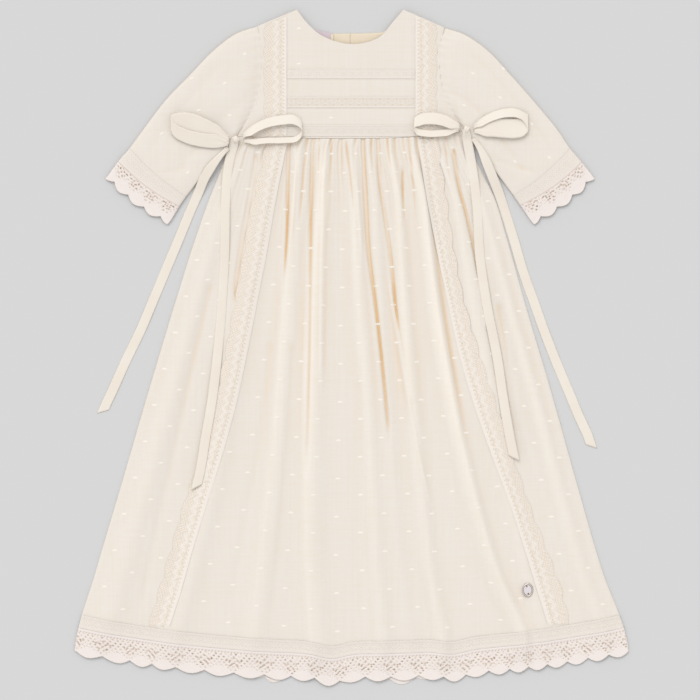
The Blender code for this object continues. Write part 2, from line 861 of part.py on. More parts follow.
def loops():
    for name, (lean, foot, points) in BOWS.items():
        base = route(points, BOW_STEPS)
        axis = np.array((0.0, lean * math.sin(LEAN), math.cos(LEAN))) * 0.5 * RIBBON_WIDTH
        shares = pinched(base, both_ends=True)
        middle = [(x, y, foot) + axis * s for (x, y), s in zip(base, shares)]
        ribbon(name, middle, [axis * s for s in shares])


def knots():
    for name, (across, along, foot, turn) in KNOTS.items():
        shape = bmesh.new()
        bmesh.ops.create_uvsphere(shape, u_segments=12, v_segments=8, radius=0.5 * MM)
        bmesh.ops.scale(shape, vec=KNOT_SIZE, verts=shape.verts)
        mesh = bpy.data.meshes.new(name)
        shape.to_mesh(mesh)
        shape.free()
        mesh.shade_smooth()
        made = add_object(name, mesh, SATIN, 0.4)
        made.location = (across * MM, along * MM, (foot + 0.5 * KNOT_SIZE[2]) * MM)
        made.rotation_euler.z = math.radians(turn)


def pinched(line, both_ends=False):
    """The share of the ribbon's width along a route: gathered in where it leaves the knot."""
    steps = np.linalg.norm(np.diff(np.array(line)[:, :2], axis=0), axis=1)
    reach = np.concatenate([[0.0], np.cumsum(steps)])
    near = np.minimum(reach, reach[-1] - reach) if both_ends else reach
    return PINCH + (1.0 - PINCH) * smooth_step(near / PINCH_LENGTH)


def crosswise(line):
    """For each point of a route, half the ribbon's width at right angles to it, level."""
    way = np.gradient(np.array(line)[:, :2], axis=0)
    way /= np.linalg.norm(way, axis=1)[:, None]
    half = 0.5 * RIBBON_WIDTH * pinched(line)[:, None]
    return np.column_stack([-way[:, 1], way[:, 0], np.zeros(len(way))]) * half


def skirt_tails():
    for name, points in SKIRT_TAILS.items():
        line = route(points, TAIL_STEPS)
        sides = crosswise(line)
        heights = []
        for (x, y), side in zip(line, sides):
            spots = [(x + side[0] * s, y + side[1] * s) for s in (-1.0, -0.5, 0.0, 0.5, 1.0)]
            heights.append(max(under_at(*spot) for spot in spots))
        heights = settled(heights)
        middle = [(x, y, h + TAIL_CLEAR + RIBBON_WALL) for (x, y), h in zip(line, heights)]
        ribbon(name, middle, sides)


def settled(heights):
    """Heights no lower than those given, eased so that the ribbon bridges small dips."""
    eased = np.array(heights, float)
    for _ in range(3):
        padded = np.pad(eased, 1, mode="edge")
        eased = np.maximum(eased, 0.25 * padded[:-2] + 0.5 * padded[1:-1] + 0.25 * padded[2:])
    padded = np.pad(np.array(heights), 1, mode="edge")
    nearby = np.maximum(np.maximum(padded[:-2], padded[1:-1]), padded[2:])
    return np.maximum(eased, 0.5 * (nearby + eased))


def side_tails():
    for name, points in SIDE_TAILS.items():
        line = route(points, TAIL_STEPS)
        line[:, 2] = np.maximum(line[:, 2], points[-1][2]) + RIBBON_WALL
        ribbon(name, line, crosswise(line))


def oval(centre, half, sides):
    angles = [2.0 * math.pi * k / sides for k in range(sides)]
    return [(centre[0] + half[0] * math.cos(a), centre[1] + half[1] * math.sin(a)) for a in angles]


def charm():
    rings = [oval((0.0, 0.0), CHARM_HALF, CHARM_SIDES)]
    rings += [oval(hole, (CHARM_HOLE, CHARM_HOLE), HOLE_SIDES) for hole in CHARM_HOLES]
    x, y = CHARM_AT
    across, along = CHARM_HALF
    spots = [(x + across * a, y + along * b) for a in (-1, 0, 1) for b in (-1, 0, 1)]
    height = max(skirt_surface(*spot) for spot in spots) + SEAM
    flat_piece("charm", rings, CHARM_THICK, (x, y, height), METAL, 0.3, 1.0)


def main():
    for old in list(bpy.data.objects):
        bpy.data.objects.remove(old)
    gown = bpy.data.collections.new("christening_gown")
    bpy.context.scene.collection.children.link(gown)
    skirt_front()
    skirt_back()
    hem_bands()
    hem_edgings()
    skirt_laces()
    sleeves()
    bodice()
    inside_of_back()
    yoke_trims()
    loops()
    knots()
    skirt_tails()
    side_tails()
    charm()


main()
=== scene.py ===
"""Christening gown laid flat: plumeti cotton, cotton lace and satin ribbon bows.

Sizes are millimetres unless a line says otherwise. +Y is the neck, +Z is up from the surface it lies on.
"""

import math
import random

import bmesh
import bpy
import numpy as np
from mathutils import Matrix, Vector


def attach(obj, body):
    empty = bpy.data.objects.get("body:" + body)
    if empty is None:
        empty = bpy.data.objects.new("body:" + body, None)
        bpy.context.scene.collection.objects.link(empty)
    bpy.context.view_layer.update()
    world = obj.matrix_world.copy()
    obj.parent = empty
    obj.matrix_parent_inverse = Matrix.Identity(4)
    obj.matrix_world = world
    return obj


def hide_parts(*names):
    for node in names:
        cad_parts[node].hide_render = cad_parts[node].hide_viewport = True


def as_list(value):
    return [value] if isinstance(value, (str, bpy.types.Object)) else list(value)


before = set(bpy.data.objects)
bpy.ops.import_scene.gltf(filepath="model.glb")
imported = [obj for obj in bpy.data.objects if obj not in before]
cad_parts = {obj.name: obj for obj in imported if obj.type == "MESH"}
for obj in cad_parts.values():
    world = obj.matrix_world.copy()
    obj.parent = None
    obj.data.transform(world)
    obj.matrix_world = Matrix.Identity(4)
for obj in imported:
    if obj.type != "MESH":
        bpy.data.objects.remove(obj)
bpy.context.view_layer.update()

MM = 0.001
# How far the front's lace laps over its seam, and how far from the seam the back's lace starts
LAP = 0.8
SEAM = 0.3
# Height of the front's edges, and of the back's upper side
FRONT_EDGE = 2.3
BACK_TOP = 1.0
# Depth below the threads down to which the ground of a lace is closed
GROUND = 0.42
# Flat size of each lace and ribbon, filled in as they are made
FLAT = {}
# A narrower piece is left out of the list of cuts
NARROWEST_SHEET = 0.01
# Depth below the cloth around it at which a crease has its full painted shade
HOLLOW_DEPTH = 1.25
# Painted highlight on the crests of the folds: its colour, the height it starts at, and the rise to it
CREST_PAINTED_HIGHLIGHT = "#EDE6DC"
CREST_FOOT = 4.2
CREST_RISE = 4.5
# The wave texture repeats every 0.314 m at a scale of 1
WAVE_SCALE = 0.314
# Points across and along each surface (down and across a sleeve), close enough for its smallest creases
SKIRT_GRID = (421, 201)
SKIRT_BACK_GRID = (141, 71)
SLEEVE_GRID = (121, 91)
BODICE_GRID = (121, 181)
BODICE_BACK_GRID = (121, 61)

WAIST = ((-118, 219), (-60, 217.5), (0, 217), (60, 218.5), (118, 225))
HEM_HALF = 281.0
HEM_SIDE = -276.0
HEM_MIDDLE = -303.0
HEM_CURVE = 2.1
# Dips of the hem: across, depth, half width
HEM_DIPS = ((-20, 5, 16), (104, 3.5, 16))
SKIRT_EDGES = (
    # along, left, right
    (226, -114, 117), (206, -127, 123.5), (190, -133, 131), (160, -145, 146), (112, -162, 161),
    (50, -181.5, 178.5), (-43, -209.5, 206), (-136, -236.5, 232), (-229, -264, 259),
    (-306, -285.5, 285.5), (-350, -287, 287),
)

# Crests of the main folds: place across at waist, middle, hem; height at each; left slope, right slope
FOLDS = (
    (0.06, 0.055, 0.05, 2, 3.5, 4, 15, 13),
    (0.2, 0.205, 0.18, 3.5, 4, 4, 12, 11),
    (0.285, 0.325, 0.32, 4.5, 5, 4.5, 8, 15),
    (0.384, 0.398, 0.43, 5.5, 6.5, 6.5, 7, 14),
    (0.49, 0.54, 0.556, 4.5, 4.5, 4.5, 9, 9),
    (0.575, 0.59, 0.605, 4, 3, 2.5, 8, 8),
    (0.664, 0.652, 0.664, 5.5, 5.5, 6, 8, 8),
    (0.76, 0.752, 0.814, 5.5, 7, 7, 12, 5.5),
    (0.87, 0.846, 0.85, 4, 4, 4, 9, 11),
    (0.95, 0.953, 0.958, 2.5, 4.5, 4.5, 10, 9),
)
# Width over which the folds sink towards the side seams
SIDE_ROLL = 16.0
# Small gathers along the waist: their number, height, and reach as a share of the skirt's length
GATHERS = 30
GATHER_HEIGHT = 1.2
GATHER_REACH = 0.075
# The folds rise from a share of their height at the waist, over a share of the skirt's length
WAIST_SHARE = 0.45
FOLD_RISE = 0.07
# How far the laid folds have sunk
SETTLE = 0.86

# Creases on the skirt front: height (a crease is below nought), half width, then the line: along, across
CREASES = (
    (-2.75, 1.87, ((217, -64.5), (180, -65.5), (120, -66.5), (80, -69), (60, -70.5))),
    (-1.75, 2.03, ((217, -45), (185, -49), (150, -52), (118, -56))),
    (-2.25, 2.34, ((217, -40.5), (150, -41.5), (50, -42.5), (-50, -44.5), (-140, -47))),
    (-1.25, 1.72, ((217, -21), (180, -22.5), (152, -25))),
    (-1, 1.56, ((217, -10), (175, -9.5), (160, -9))),
    (-1.62, 1.72, ((217, -6.5), (190, -2.5), (152, 1.5), (125, 3.5))),
    (-3.75, 2.03, ((217, 12), (150, 15), (100, 18), (50, 24.5), (-32, 33.5), (-105, 40))),
    (-2.75, 1.72, ((217, 27.5), (170, 29.5), (140, 34), (100, 40), (50, 45), (8, 50))),
    (-1.62, 1.56, ((180, 53), (160, 53), (140, 54), (120, 54))),
    (-1.38, 1.56, ((217, 59), (180, 62.5), (150, 65.5), (135, 67))),
    (-1, 1.4, ((217, 45), (195, 46), (185, 46.5))),
    (-0.88, 3.6, ((210, 79), (100, 88.5), (20, 99), (-75, 114), (-130, 122))),
    (-3.5, 1.87, ((200, 106), (172, 110), (130, 121), (92, 128.5), (60, 132))),
    (-4, 2, ((192, -98.5), (172, -102.5), (150, -106), (107, -113.5), (80, -117.5), (40, -122))),
    (-0.88, 4.5, ((60, -147), (-20, -165), (-110, -184), (-220, -208), (-290, -222))),
    (-0.66, 5, ((0, -84), (-80, -92), (-180, -110), (-290, -128))),
    (-0.77, 5, ((0, -62), (-90, -66), (-190, -74), (-300, -86))),
    (-0.66, 5.5, ((-40, 8), (-130, 8), (-230, 9), (-300, 10))),
    (-0.77, 4.5, ((-60, 62), (-150, 70), (-230, 76), (-300, 80))),
    (-0.99, 4, ((40, 152), (-60, 165), (-150, 190), (-230, 214), (-290, 232))),
    (-1.5, 2.4, ((20, 141), (-10, 147), (-50, 154), (-90, 161))),
    (-1.2, 1.4, ((217, -84), (195, -87), (172, -90), (160, -92))),
    (-1, 1.2, ((217, -33), (200, -34), (180, -34.5), (165, -35))),
    (-0.9, 1.2, ((217, 20.5), (200, 21), (182, 22.5), (170, 23))),
    (-1, 1.2, ((217, 37), (200, 38.5), (185, 39.5), (172, 41))),
    (-1.1, 1.3, ((217, 96), (196, 98.5), (176, 101.5), (160, 104))),
    (1.2, 2.6, ((180, -28.5), (120, -29.5), (40, -31), (-50, -32))),
    (1.25, 1.87, ((200, -58), (150, -60), (90, -64))),
    (1.25, 1.87, ((205, 4), (140, 8), (80, 12))),
    (1.12, 1.72, ((60, 41), (20, 47), (-30, 55), (-100, 68), (-170, 84))),
)

SKIRT_LACE = {
    # along, scalloped edge, straight edge
    "left": (
        (215, -88, -66), (154, -103, -78), (102, -112, -87), (50, -121, -97), (-1, -131, -107),
        (-53, -142, -118), (-105, -157, -132), (-156, -173, -148), (-208, -188, -164), (-260, -203, -179),
        (-287, -211, -188),
    ),
    "right": (
        (217, 90, 68), (154, 99, 78), (102, 107, 88), (50, 117, 99), (-1, 132, 110), (-53, 149, 125),
        (-105, 166, 143), (-156, 183, 162), (-208, 203, 179), (-260, 221, 195), (-285, 226, 203),
    ),
}
# Length and width of a skirt lace before it is sewn on
SKIRT_LACE_SIZE = (512.0, 23.5)
SKIRT_LACE_SCALLOPS = 18
# From the skirt's hem down: the insertion, the points between the scallops of the edging, and their tips
HEM_BAND = 12.4
HEM_CUSP = 36.0
HEM_TIP = 41.0
HEM_LONG = 562.0
HEM_SCALLOPS = 22
# Where the scallops of the front edging have their tips, as shares of its length
HEM_TIPS = (
    -0.0197, 0.0253, 0.0796, 0.123, 0.1609, 0.208, 0.2586, 0.3146, 0.3671, 0.4123, 0.4575, 0.5027, 0.5497,
    0.5967, 0.6438, 0.6854, 0.7251, 0.7649, 0.8011, 0.8373, 0.8716, 0.9078, 0.9476, 0.9855, 1.0205,
)
# Where the back edging shows below the front one: across, depth, half width
BACK_PEEKS = ((-84, 7, 14), (52, 7, 26))
# Lift of the hem laces off the cloth in front, and off the paper behind
HEM_LIFT = 0.15
BACK_LACE_LIFT = 0.45

SLEEVES = {
    # top across, top along, under across, under along, bow to the body, height
    "left": (
        (-97.7, 333.3, -118.4, 219.5, 13, 4.8), (-120.5, 325, -124.8, 211.8, 8, 5.6),
        (-144, 307, -132.8, 202, 4, 5.8), (-168, 282, -144, 189, 1, 5.6),
        (-192, 257, -156.5, 176, -1, 5.2), (-214.6, 227.5, -166, 163.5, -2, 4.8),
        (-229.5, 207, -171, 157, -3, 4.5), (-240, 195, -177, 148.5, -3.5, 4.3),
        (-250.5, 180.5, -186.5, 133, -4, 4),
    ),
    "right": (
        (96.7, 331.7, 117.4, 225.2, 14, 4.8), (118.4, 324, 122.8, 217.5, 9, 5.6),
        (142.2, 307, 130.8, 206, 4, 5.8), (165.4, 282, 141, 192.5, 1, 5.6),
        (188.2, 256.2, 154, 176, -1, 5.2), (212, 227.5, 163, 164, -2, 4.8),
        (225.9, 207, 167.5, 158, -3, 4.5), (236.8, 194.2, 173.5, 149.5, -3.5, 4.3),
        (247.5, 180.5, 185, 133, -4, 4),
    ),
}
# Rows of the table at which the sleeve's cloth, its insertion and its edging end
BAND_ROW = 6
FELL_ROW = 7
END_ROW = 8
CUFF_SCALLOPS = 4
CUFF_DEPTH = 6.0
CUFF_LIFT = 0.3
CUFF_LIFT_UNDER = 0.35
# Height that the free end of a cuff lace sinks to
CUFF_SETTLED = 2.2
# Creases on the sleeves: height, half width as a share of the sleeve, then the line: row, share across
SLEEVE_CREASES = {
    "left": (
        (0.45, 0.12, ((0.2, 0.4), (2, 0.46), (4, 0.5), (6, 0.52))),
        (-0.4, 0.07, ((0.3, 0.62), (1.5, 0.64), (3.5, 0.7), (5.5, 0.74))),
        (0.4, 0.09, ((2.8, 0.86), (3.8, 0.82), (4.8, 0.84), (6, 0.88))),
        (-0.35, 0.06, ((1.5, 0.16), (3, 0.2), (4.5, 0.24), (5.9, 0.24))),
        (-0.35, 0.05, ((3.6, 0.92), (4.4, 0.76), (5.2, 0.62), (6, 0.52))),
    ),
    "right": (
        (0.45, 0.12, ((0.2, 0.38), (2, 0.44), (4, 0.48), (6, 0.52))),
        (-0.55, 0.05, ((0.1, 0.58), (1.5, 0.6), (3.5, 0.66), (5.5, 0.72))),
        (0.45, 0.08, ((2.6, 0.84), (3.8, 0.8), (4.8, 0.82), (6, 0.88))),
        (-0.45, 0.05, ((1.2, 0.14), (3, 0.18), (4.5, 0.22), (5.9, 0.24))),
        (-0.45, 0.04, ((3.2, 0.92), (4.2, 0.78), (5.1, 0.64), (6, 0.54))),
    ),
}

FRONT_NECK = (
    (-56.4, 350.3), (-47, 337.9), (-33.6, 325.5), (-18.5, 318.3), (-2, 314.8), (14, 316.2), (29.5, 322.4),
    (42.9, 337.9), (53.8, 350.3),
)
BACK_NECK = (
    (-56.4, 350.3), (-50.1, 340), (-40.8, 331.2), (-30.5, 327.6), (-0.5, 326), (19.1, 326.5),
    (35.7, 328.6), (46, 340), (53.8, 350.3),
)
# Rise of the bodice from its sides to its middle
BODICE_CROWN = 1.9
# Creases on the bodice front: height, half width, then the line: along, across
BODICE_CREASES = (
    (0.45, 1.1, ((349, -62.5), (300, -62.8), (235, -63), (220, -63))),
    (0.45, 1.1, ((349, 61), (300, 61.5), (235, 61.8), (220, 62))),
    (-0.35, 7, ((320, -30), (290, -26), (262, -30))),
    (-0.35, 8, ((312, 25), (285, 30), (262, 26))),
    (0.35, 9, ((312, 2), (285, 0), (262, 4))),
)
# Scalloped edge and straight edge, across
YOKE_LACE = {"left": (-91, -67), "right": (88.8, 66)}
YOKE_LACE_LONG = 112.0
YOKE_LACE_SCALLOPS = 6
# The shoulder seam that they start at: its outer end across and along, and its rise to the neck
SHOULDER_OUT = 97.2
SHOULDER_LOW = 331.2
SHOULDER_RISE = 17.0
# The left one ends level at a place along, the right one a little above the waist seam
YOKE_LACE_FOOT = 219.6
YOKE_LACE_CLEAR = 1.4
YOKE_LACE_LIFT = 0.32
# Upper edge and lower edge, along
YOKE_BANDS = {
    "yoke_insertion_upper": (288.5, 279),
    "yoke_insertion_middle": (260.5, 249),
    "waist_insertion": (229.3, 219.4),
}
YOKE_BAND_SPAN = (-66.5, 65.5)
YOKE_BAND_LIFT = 0.24
# Seams beside the bands: along, half width
YOKE_FELLS = ((277.3, 0.8), (247.6, 0.8), (231, 0.7))
# The strip behind the closing, and the label's tab: span across, and ends along
PLACKET_ACROSS = (-7.0, 7.0)
PLACKET_ALONG = (313.0, 219.5)
TAB_ACROSS = (-21.6, -18.6)
TAB_ALONG = (325.0, 314.0)
LABEL_LEFT = -43.5
LABEL_RIGHT = -19.0
LABEL_TOP = (331.0, 325.5)
LABEL_DROP = 14.0

RIBBON_WIDTH = 10.0
# A loop's width where it leaves the knot, as a share, and the length over which it opens out
LOOP_PINCH = 0.45
LOOP_PINCH_LENGTH = 14.0
# How far a loop leans over from upright
LEAN = math.radians(62.0)
BOWS = {
    # lean, height of the lower edge, then the route: across, along
    "bow_left_loop_outer": (1, 8.2, (
        (-126.5, 216), (-134, 220), (-148.5, 227.5), (-161, 233), (-173, 235), (-182, 233), (-186.5, 227),
        (-183, 219), (-172, 212.5), (-157, 208.5), (-140, 207), (-127.5, 209.5),
    )),
    "bow_left_loop_inner": (-1, 6.7, (
        (-112.5, 221.5), (-103, 230), (-90, 237), (-72, 241), (-58.5, 241), (-52, 235), (-51.5, 228),
        (-56, 223), (-69, 221), (-90, 220.5), (-111.5, 217),
    )),
    "bow_right_loop_outer": (-1, 7.3, (
        (125.5, 230.5), (134.5, 238.5), (146, 244.5), (159, 248), (171, 247.5), (179.5, 242.5),
        (182, 235), (178, 228.5), (169, 226), (156, 226.5), (142, 227.5), (126.5, 226.5),
    )),
    "bow_right_loop_inner": (-1, 6.4, (
        (111.5, 232), (99, 240.5), (83, 244), (71, 242.5), (64.5, 236.5), (66.5, 230.5), (78, 227.5),
        (97, 228), (110.5, 228),
    )),
}
# How much of the ribbon's face each loop shows: its upper strand, its lower strand
LOOP_FACES = {
    "bow_left_loop_outer": (19.2, 14.6),
    "bow_left_loop_inner": (10.2, 6.2),
    "bow_right_loop_outer": (9.5, 20.5),
    "bow_right_loop_inner": (12.5, 7),
}
# Height of a loop's far edge over its near edge
LOOP_RISE = 2.2
KNOTS = {
    # across, along, height of the underside, turn in degrees
    "bow_left_knot": (-119.4, 216.2, 5.2, 35),
    "bow_right_knot": (118.6, 226.4, 6, -25),
}
KNOT_SIZE = (6.2, 7.0, 4.8)
# A skirt tail starts this far above the cloth, on its knot
TAIL_RISE = 3.6
# How far the edges of a ribbon sag below its middle
TAIL_SAG = 0.35
SIDE_TAIL_SAG = 0.12
LOOP_STEPS = 130
TAIL_STEPS = 170
# Beside the bodice, above this place along, a tail lies at the height of the sleeve's top
UNDERARM = 185.0
SLEEVE_HIGH = 5.8
SKIRT_TAILS = {
    # across, along
    "bow_left_tail_skirt": (
        (-119.5, 217.5), (-124, 203), (-127.5, 186), (-130, 154), (-131, 102), (-133, 61), (-136, 19),
        (-139, -12), (-144, -53), (-151, -94), (-156, -125), (-160, -143),
    ),
    "bow_right_tail_skirt": (
        (118, 226), (120.5, 210), (124, 191), (129, 154), (133, 92), (139, 50), (151, -12), (157, -53),
        (164, -94), (168, -113),
    ),
}
SIDE_TAILS = {
    # across, along, height of the underside
    "bow_left_tail_side": (
        (-127.5, 207.5, 6.3), (-136, 198.5, 6.5), (-144.5, 188, 6.5), (-151.6, 177, 4.6),
        (-158, 162, 1.3), (-164.6, 147, 0.3), (-179, 112, 0.3), (-192, 81, 0.3), (-205, 50, 0.3),
        (-218, 19, 0.3), (-233, -12, 0.3), (-247, -43, 0.3), (-254, -58, 0.3), (-257, -65, 0.3),
    ),
    "bow_right_tail_side": (
        (125.5, 217.5, 6.3), (133, 206, 6.5), (140, 191, 6.5), (146, 176.5, 4.6), (153, 159, 1.3),
        (158, 144, 0.3), (168, 112, 0.3), (177, 81, 0.3), (188, 50, 0.3), (199, 19, 0.3), (211, -12, 0.3),
        (224, -43, 0.3), (237, -74, 0.3), (244, -89, 0.3), (248, -101, 0.3),
    ),
}
# How far the cut end of each tail slants
TAIL_SLANT = {
    "bow_left_tail_skirt": -4.5,
    "bow_right_tail_skirt": 4,
    "bow_left_tail_side": -4.5,
    "bow_right_tail_side": 4,
}

DOT_COLUMNS = 20
DOT_ROWS = 15
DOT_PITCH = 39.3
SKIRT_LONG = 522.0
# Half length of a dot on the skirt, and above it where they show shorter; half width of both
DOT_LONG = 3.0
DOT_SHORT = 2.4
DOT_WIDE = 1.35
SKIRT_DOTS_END = 170.0
YOKE_DOTS = ((-54.3, 330.7, 0.03), (-54.3, 294.2, 0.03), (-21, 238.6, 0.03))
SLEEVE_DOTS = {
    # across, along, turn
    "left": (
        (-110.1, 304.3, 0.3), (-165.2, 279.2, 0.6), (-130.8, 274, 0.5), (-157.7, 245.9, 0.6),
        (-125.9, 240.9, 0.4), (-169.1, 181.8, 0.7), (-196, 222, 0.6),
    ),
    "right": (
        (125.6, 284.1, -0.4), (156.7, 289.3, -0.5), (116.3, 251.1, -0.3), (153.6, 259.3, -0.5),
        (169.1, 193.1, -0.6), (204.2, 197.3, -0.6), (186, 232, -0.6),
    ),
}

CHARM_AT = (181.8, -249.0)
CHARM_HALF = (5.5, 7.0)
CHARM_THICK = 1.2
CHARM_HOLES = ((-1, 3.9), (0.7, -3.9))
CHARM_HOLE = 0.75
CHARM_CELL = 0.2

# Half the side of the paper sweep, in metres
PAPER_HALF = 3.0
# Strength of the white surroundings and of the lamp, then the lamp's spread in degrees and its direction
SKY_LIGHT = 0.867
LAMP_LIGHT = 1.16
LAMP_SPREAD = 40.0
LAMP_WAY = (0.26, -0.66, -0.86)
# The camera: its height and the width that it sees in metres, and the point that it looks at
VIEW_HEIGHT = 3.5
VIEW_WIDTH = 0.7238
VIEW_AT = (-1.55, -1.24)
SENSOR = 36.0


# The form of the cloth


def smooth_step(value):
    value = np.clip(value, 0.0, 1.0)
    return value * value * (3.0 - 2.0 * value)


def through(rows, at, column=1):
    """A smooth curve through one column of a table, read at values of its first column."""
    keys = np.array([row[0] for row in rows], float)
    values = np.array([row[column] for row in rows], float)
    if keys[0] > keys[-1]:
        keys, values = keys[::-1], values[::-1]
    slopes = np.gradient(values, keys)
    at = np.clip(np.asarray(at, float), keys[0], keys[-1])
    i = np.clip(np.searchsorted(keys, at) - 1, 0, len(keys) - 2)
    span = keys[i + 1] - keys[i]
    t = (at - keys[i]) / span
    curve = span * (slopes[i] * t * (1.0 - t) ** 2 - slopes[i + 1] * t * t * (1.0 - t))
    return values[i] + (values[i + 1] - values[i]) * t * t * (3.0 - 2.0 * t) + curve


def route(points, steps):
    """Points evenly spaced along a smooth curve through a short list of points."""
    points = np.array(points, float)
    reach = np.concatenate([[0.0], np.cumsum(np.linalg.norm(np.diff(points, axis=0), axis=1))])
    rows = [(r, *p) for r, p in zip(reach, points)]
    at = np.linspace(0.0, reach[-1], steps + 1)
    return np.column_stack([through(rows, at, k + 1) for k in range(points.shape[1])])


def bump(offset, wide):
    return np.exp(-((offset / wide) ** 2))


def waist_line(across):
    return through(WAIST, across)


def hem_line(across):
    share = np.minimum(np.abs(across) / HEM_HALF, 1.0)
    along = HEM_SIDE + (HEM_MIDDLE - HEM_SIDE) * (1.0 - share**HEM_CURVE)
    return along - sum(drop * bump(across - at, wide) for at, drop, wide in HEM_DIPS)


def skirt_sides(along):
    return through(SKIRT_EDGES, along, 1), through(SKIRT_EDGES, along, 2)


def skirt_point(place, down):
    """Across and along of a point at a share of the skirt's width and of its length."""
    top = waist_line(WAIST[0][0] + (WAIST[-1][0] - WAIST[0][0]) * place)
    foot = hem_line(HEM_HALF * (2.0 * place - 1.0))
    along = top + (foot - top) * down
    left, right = skirt_sides(along)
    return left + (right - left) * place, along


def three_way(first, middle, last, share):
    """The parabola through three values, at the start, the middle and the end."""
    return (
        first * (1.0 - share) * (1.0 - 2.0 * share)
        + middle * 4.0 * share * (1.0 - share)
        + last * share * (2.0 * share - 1.0)
    )


def main_folds(across, along):
    """Height of the skirt front's main folds and gathers above the back."""
    left, right = skirt_sides(along)
    width = right - left
    place = (across - left) / width
    top = waist_line(across)
    down = np.maximum((top - along) / (top - hem_line(across)), 0.0)
    share = np.minimum(down, 1.0)
    middle_left, middle_right = skirt_sides(-43.0)
    fuller = (width / (middle_right - middle_left)) ** 0.7
    height = 0.0
    for at_0, at_1, at_2, high_0, high_1, high_2, wide_left, wide_right in FOLDS:
        offset = (place - three_way(at_0, at_1, at_2, share)) * width
        wide = np.where(offset < 0.0, wide_left, wide_right) * fuller
        height = height + three_way(high_0, high_1, high_2, share) * bump(offset, wide)
    height = height * (WAIST_SHARE + (1.0 - WAIST_SHARE) * smooth_step(down / FOLD_RISE))
    drift = 0.8 * np.sin(9.0 * place) + 0.5 * np.sin(23.0 * place + 1.0)
    ripple = 1.0 + np.cos(2.0 * np.pi * GATHERS * place + drift)
    height = height + 0.5 * GATHER_HEIGHT * ripple * np.exp(-down / GATHER_REACH)
    from_side = np.minimum(place, 1.0 - place) * width
    height = height * (1.0 - 0.3 * smooth_step((down - 1.0) / 0.08))
    return SETTLE * height * smooth_step(from_side / SIDE_ROLL), from_side, place, down


def crease(across, along, height, wide, line):
    """One crease or ridge down the cloth, fading out at both ends."""
    start, end = line[0][0], line[-1][0]
    fade = smooth_step((start - along) / 12.0 + 1.0) * smooth_step((along - end) / 45.0)
    return height * bump(across - through(line, along), wide) * fade


def skirt_top(across, along):
    """Height of the skirt front's upper side."""
    height, from_side, place, down = main_folds(across, along)
    fine = sum(crease(across, along, *row) for row in CREASES)
    wander = 0.9 * np.sin(31.0 * place + 5.0 * down) + 0.6 * np.sin(67.0 * place - 9.0 * down + 2.0)
    small = np.sin(2.0 * np.pi * 58.0 * place + 3.0 * wander) * np.exp(-down / 0.10)
    finer = np.sin(95.0 * place + 3.0 * np.sin(2.0 * down + 9.0 * place)) * np.exp(-down / 0.4)
    slack = 0.16 * np.sin(across / 21.0 + along / 71.0) * np.sin(along / 67.0 - across / 120.0)
    inner = smooth_step(from_side / 14.0)
    height = height + (fine + 0.30 * small + 0.12 * finer + slack * smooth_step(down / 0.2)) * inner
    height = np.maximum(height, -0.6)
    edge = 1.25 + (FRONT_EDGE - 1.25) * np.sqrt(np.clip(from_side / 4.0, 0.0, 1.0))
    return edge + height


def sleeve_columns(side, row):
    """The six numbers of a sleeve's cut at a row that may lie between two rows of the table."""
    rows = [(k, *numbers) for k, numbers in enumerate(SLEEVES[side])]
    return [through(rows, row, k + 1) for k in range(6)]


def sleeve_point(side, row, share):
    """Across and along of a point on a sleeve, at a share from its top edge to its under edge."""
    row = np.asarray(row, float)
    lap = np.minimum(row, 0.0) * 20.0
    top_x, top_y, under_x, under_y, bow, _ = sleeve_columns(side, np.maximum(row, 0.0))
    shift = lap if side == "right" else -lap
    top_x, under_x = top_x + shift, under_x + shift
    length = np.hypot(under_x - top_x, under_y - top_y)
    inward = 1.0 if side == "left" else -1.0
    reach = bow * 4.0 * share * (1.0 - share)
    return (
        top_x + (under_x - top_x) * share - (under_y - top_y) / length * inward * reach,
        top_y + (under_y - top_y) * share + (under_x - top_x) / length * inward * reach,
    )


def sleeve_way(side):
    """The direction from the armhole to the cuff."""
    first = np.array(sleeve_point(side, 3, 0.5))
    last = np.array(sleeve_point(side, FELL_ROW, 0.5))
    return (last - first) / np.linalg.norm(last - first)


ARMHOLE = {
    side: [(float(y), float(x)) for x, y in (sleeve_point(side, 0, s) for s in np.linspace(0.0, 1.0, 14))]
    for side in SLEEVES
}


def bodice_sides(along):
    return through(ARMHOLE["left"], along), through(ARMHOLE["right"], along)


def bodice_top(across, along):
    """Height of the bodice front's upper side."""
    left, right = bodice_sides(along)
    place = np.clip((across - left) / (right - left), 0.0, 1.0)
    crown = BODICE_CROWN * (1.0 - np.abs(2.0 * place - 1.0) ** 3)
    crown = crown * (0.40 + 0.60 * smooth_step((along - 218.0) / 16.0))
    fine = sum(crease(across, along, *row) for row in BODICE_CREASES)
    pull = 0.16 * np.sin(across / 6.5 + 0.6 * np.sin(along / 21.0)) * np.exp(-((along - 219.0) / 16.0) ** 2)
    slack = 0.14 * np.sin(across / 13.0 + along / 24.0) * np.sin(along / 15.0 - across / 31.0)
    fells = sum(bump(along - at, wide) for at, wide in YOKE_FELLS)
    return FRONT_EDGE + crown + fine + pull + slack - 0.22 * fells * (np.abs(across) < -YOKE_BAND_SPAN[0])


def bed(top, across, along, reach=2.0):
    """The height that a trim lies at: over the small dips of the cloth below it."""
    heights = [top(across + step, along) for step in (-reach, 0.0, reach)]
    return 0.5 * np.max(heights, axis=0) + 0.5 * np.mean(heights, axis=0)


# Meshes

# The finished pieces, in the order in which they are made
GOWN = []


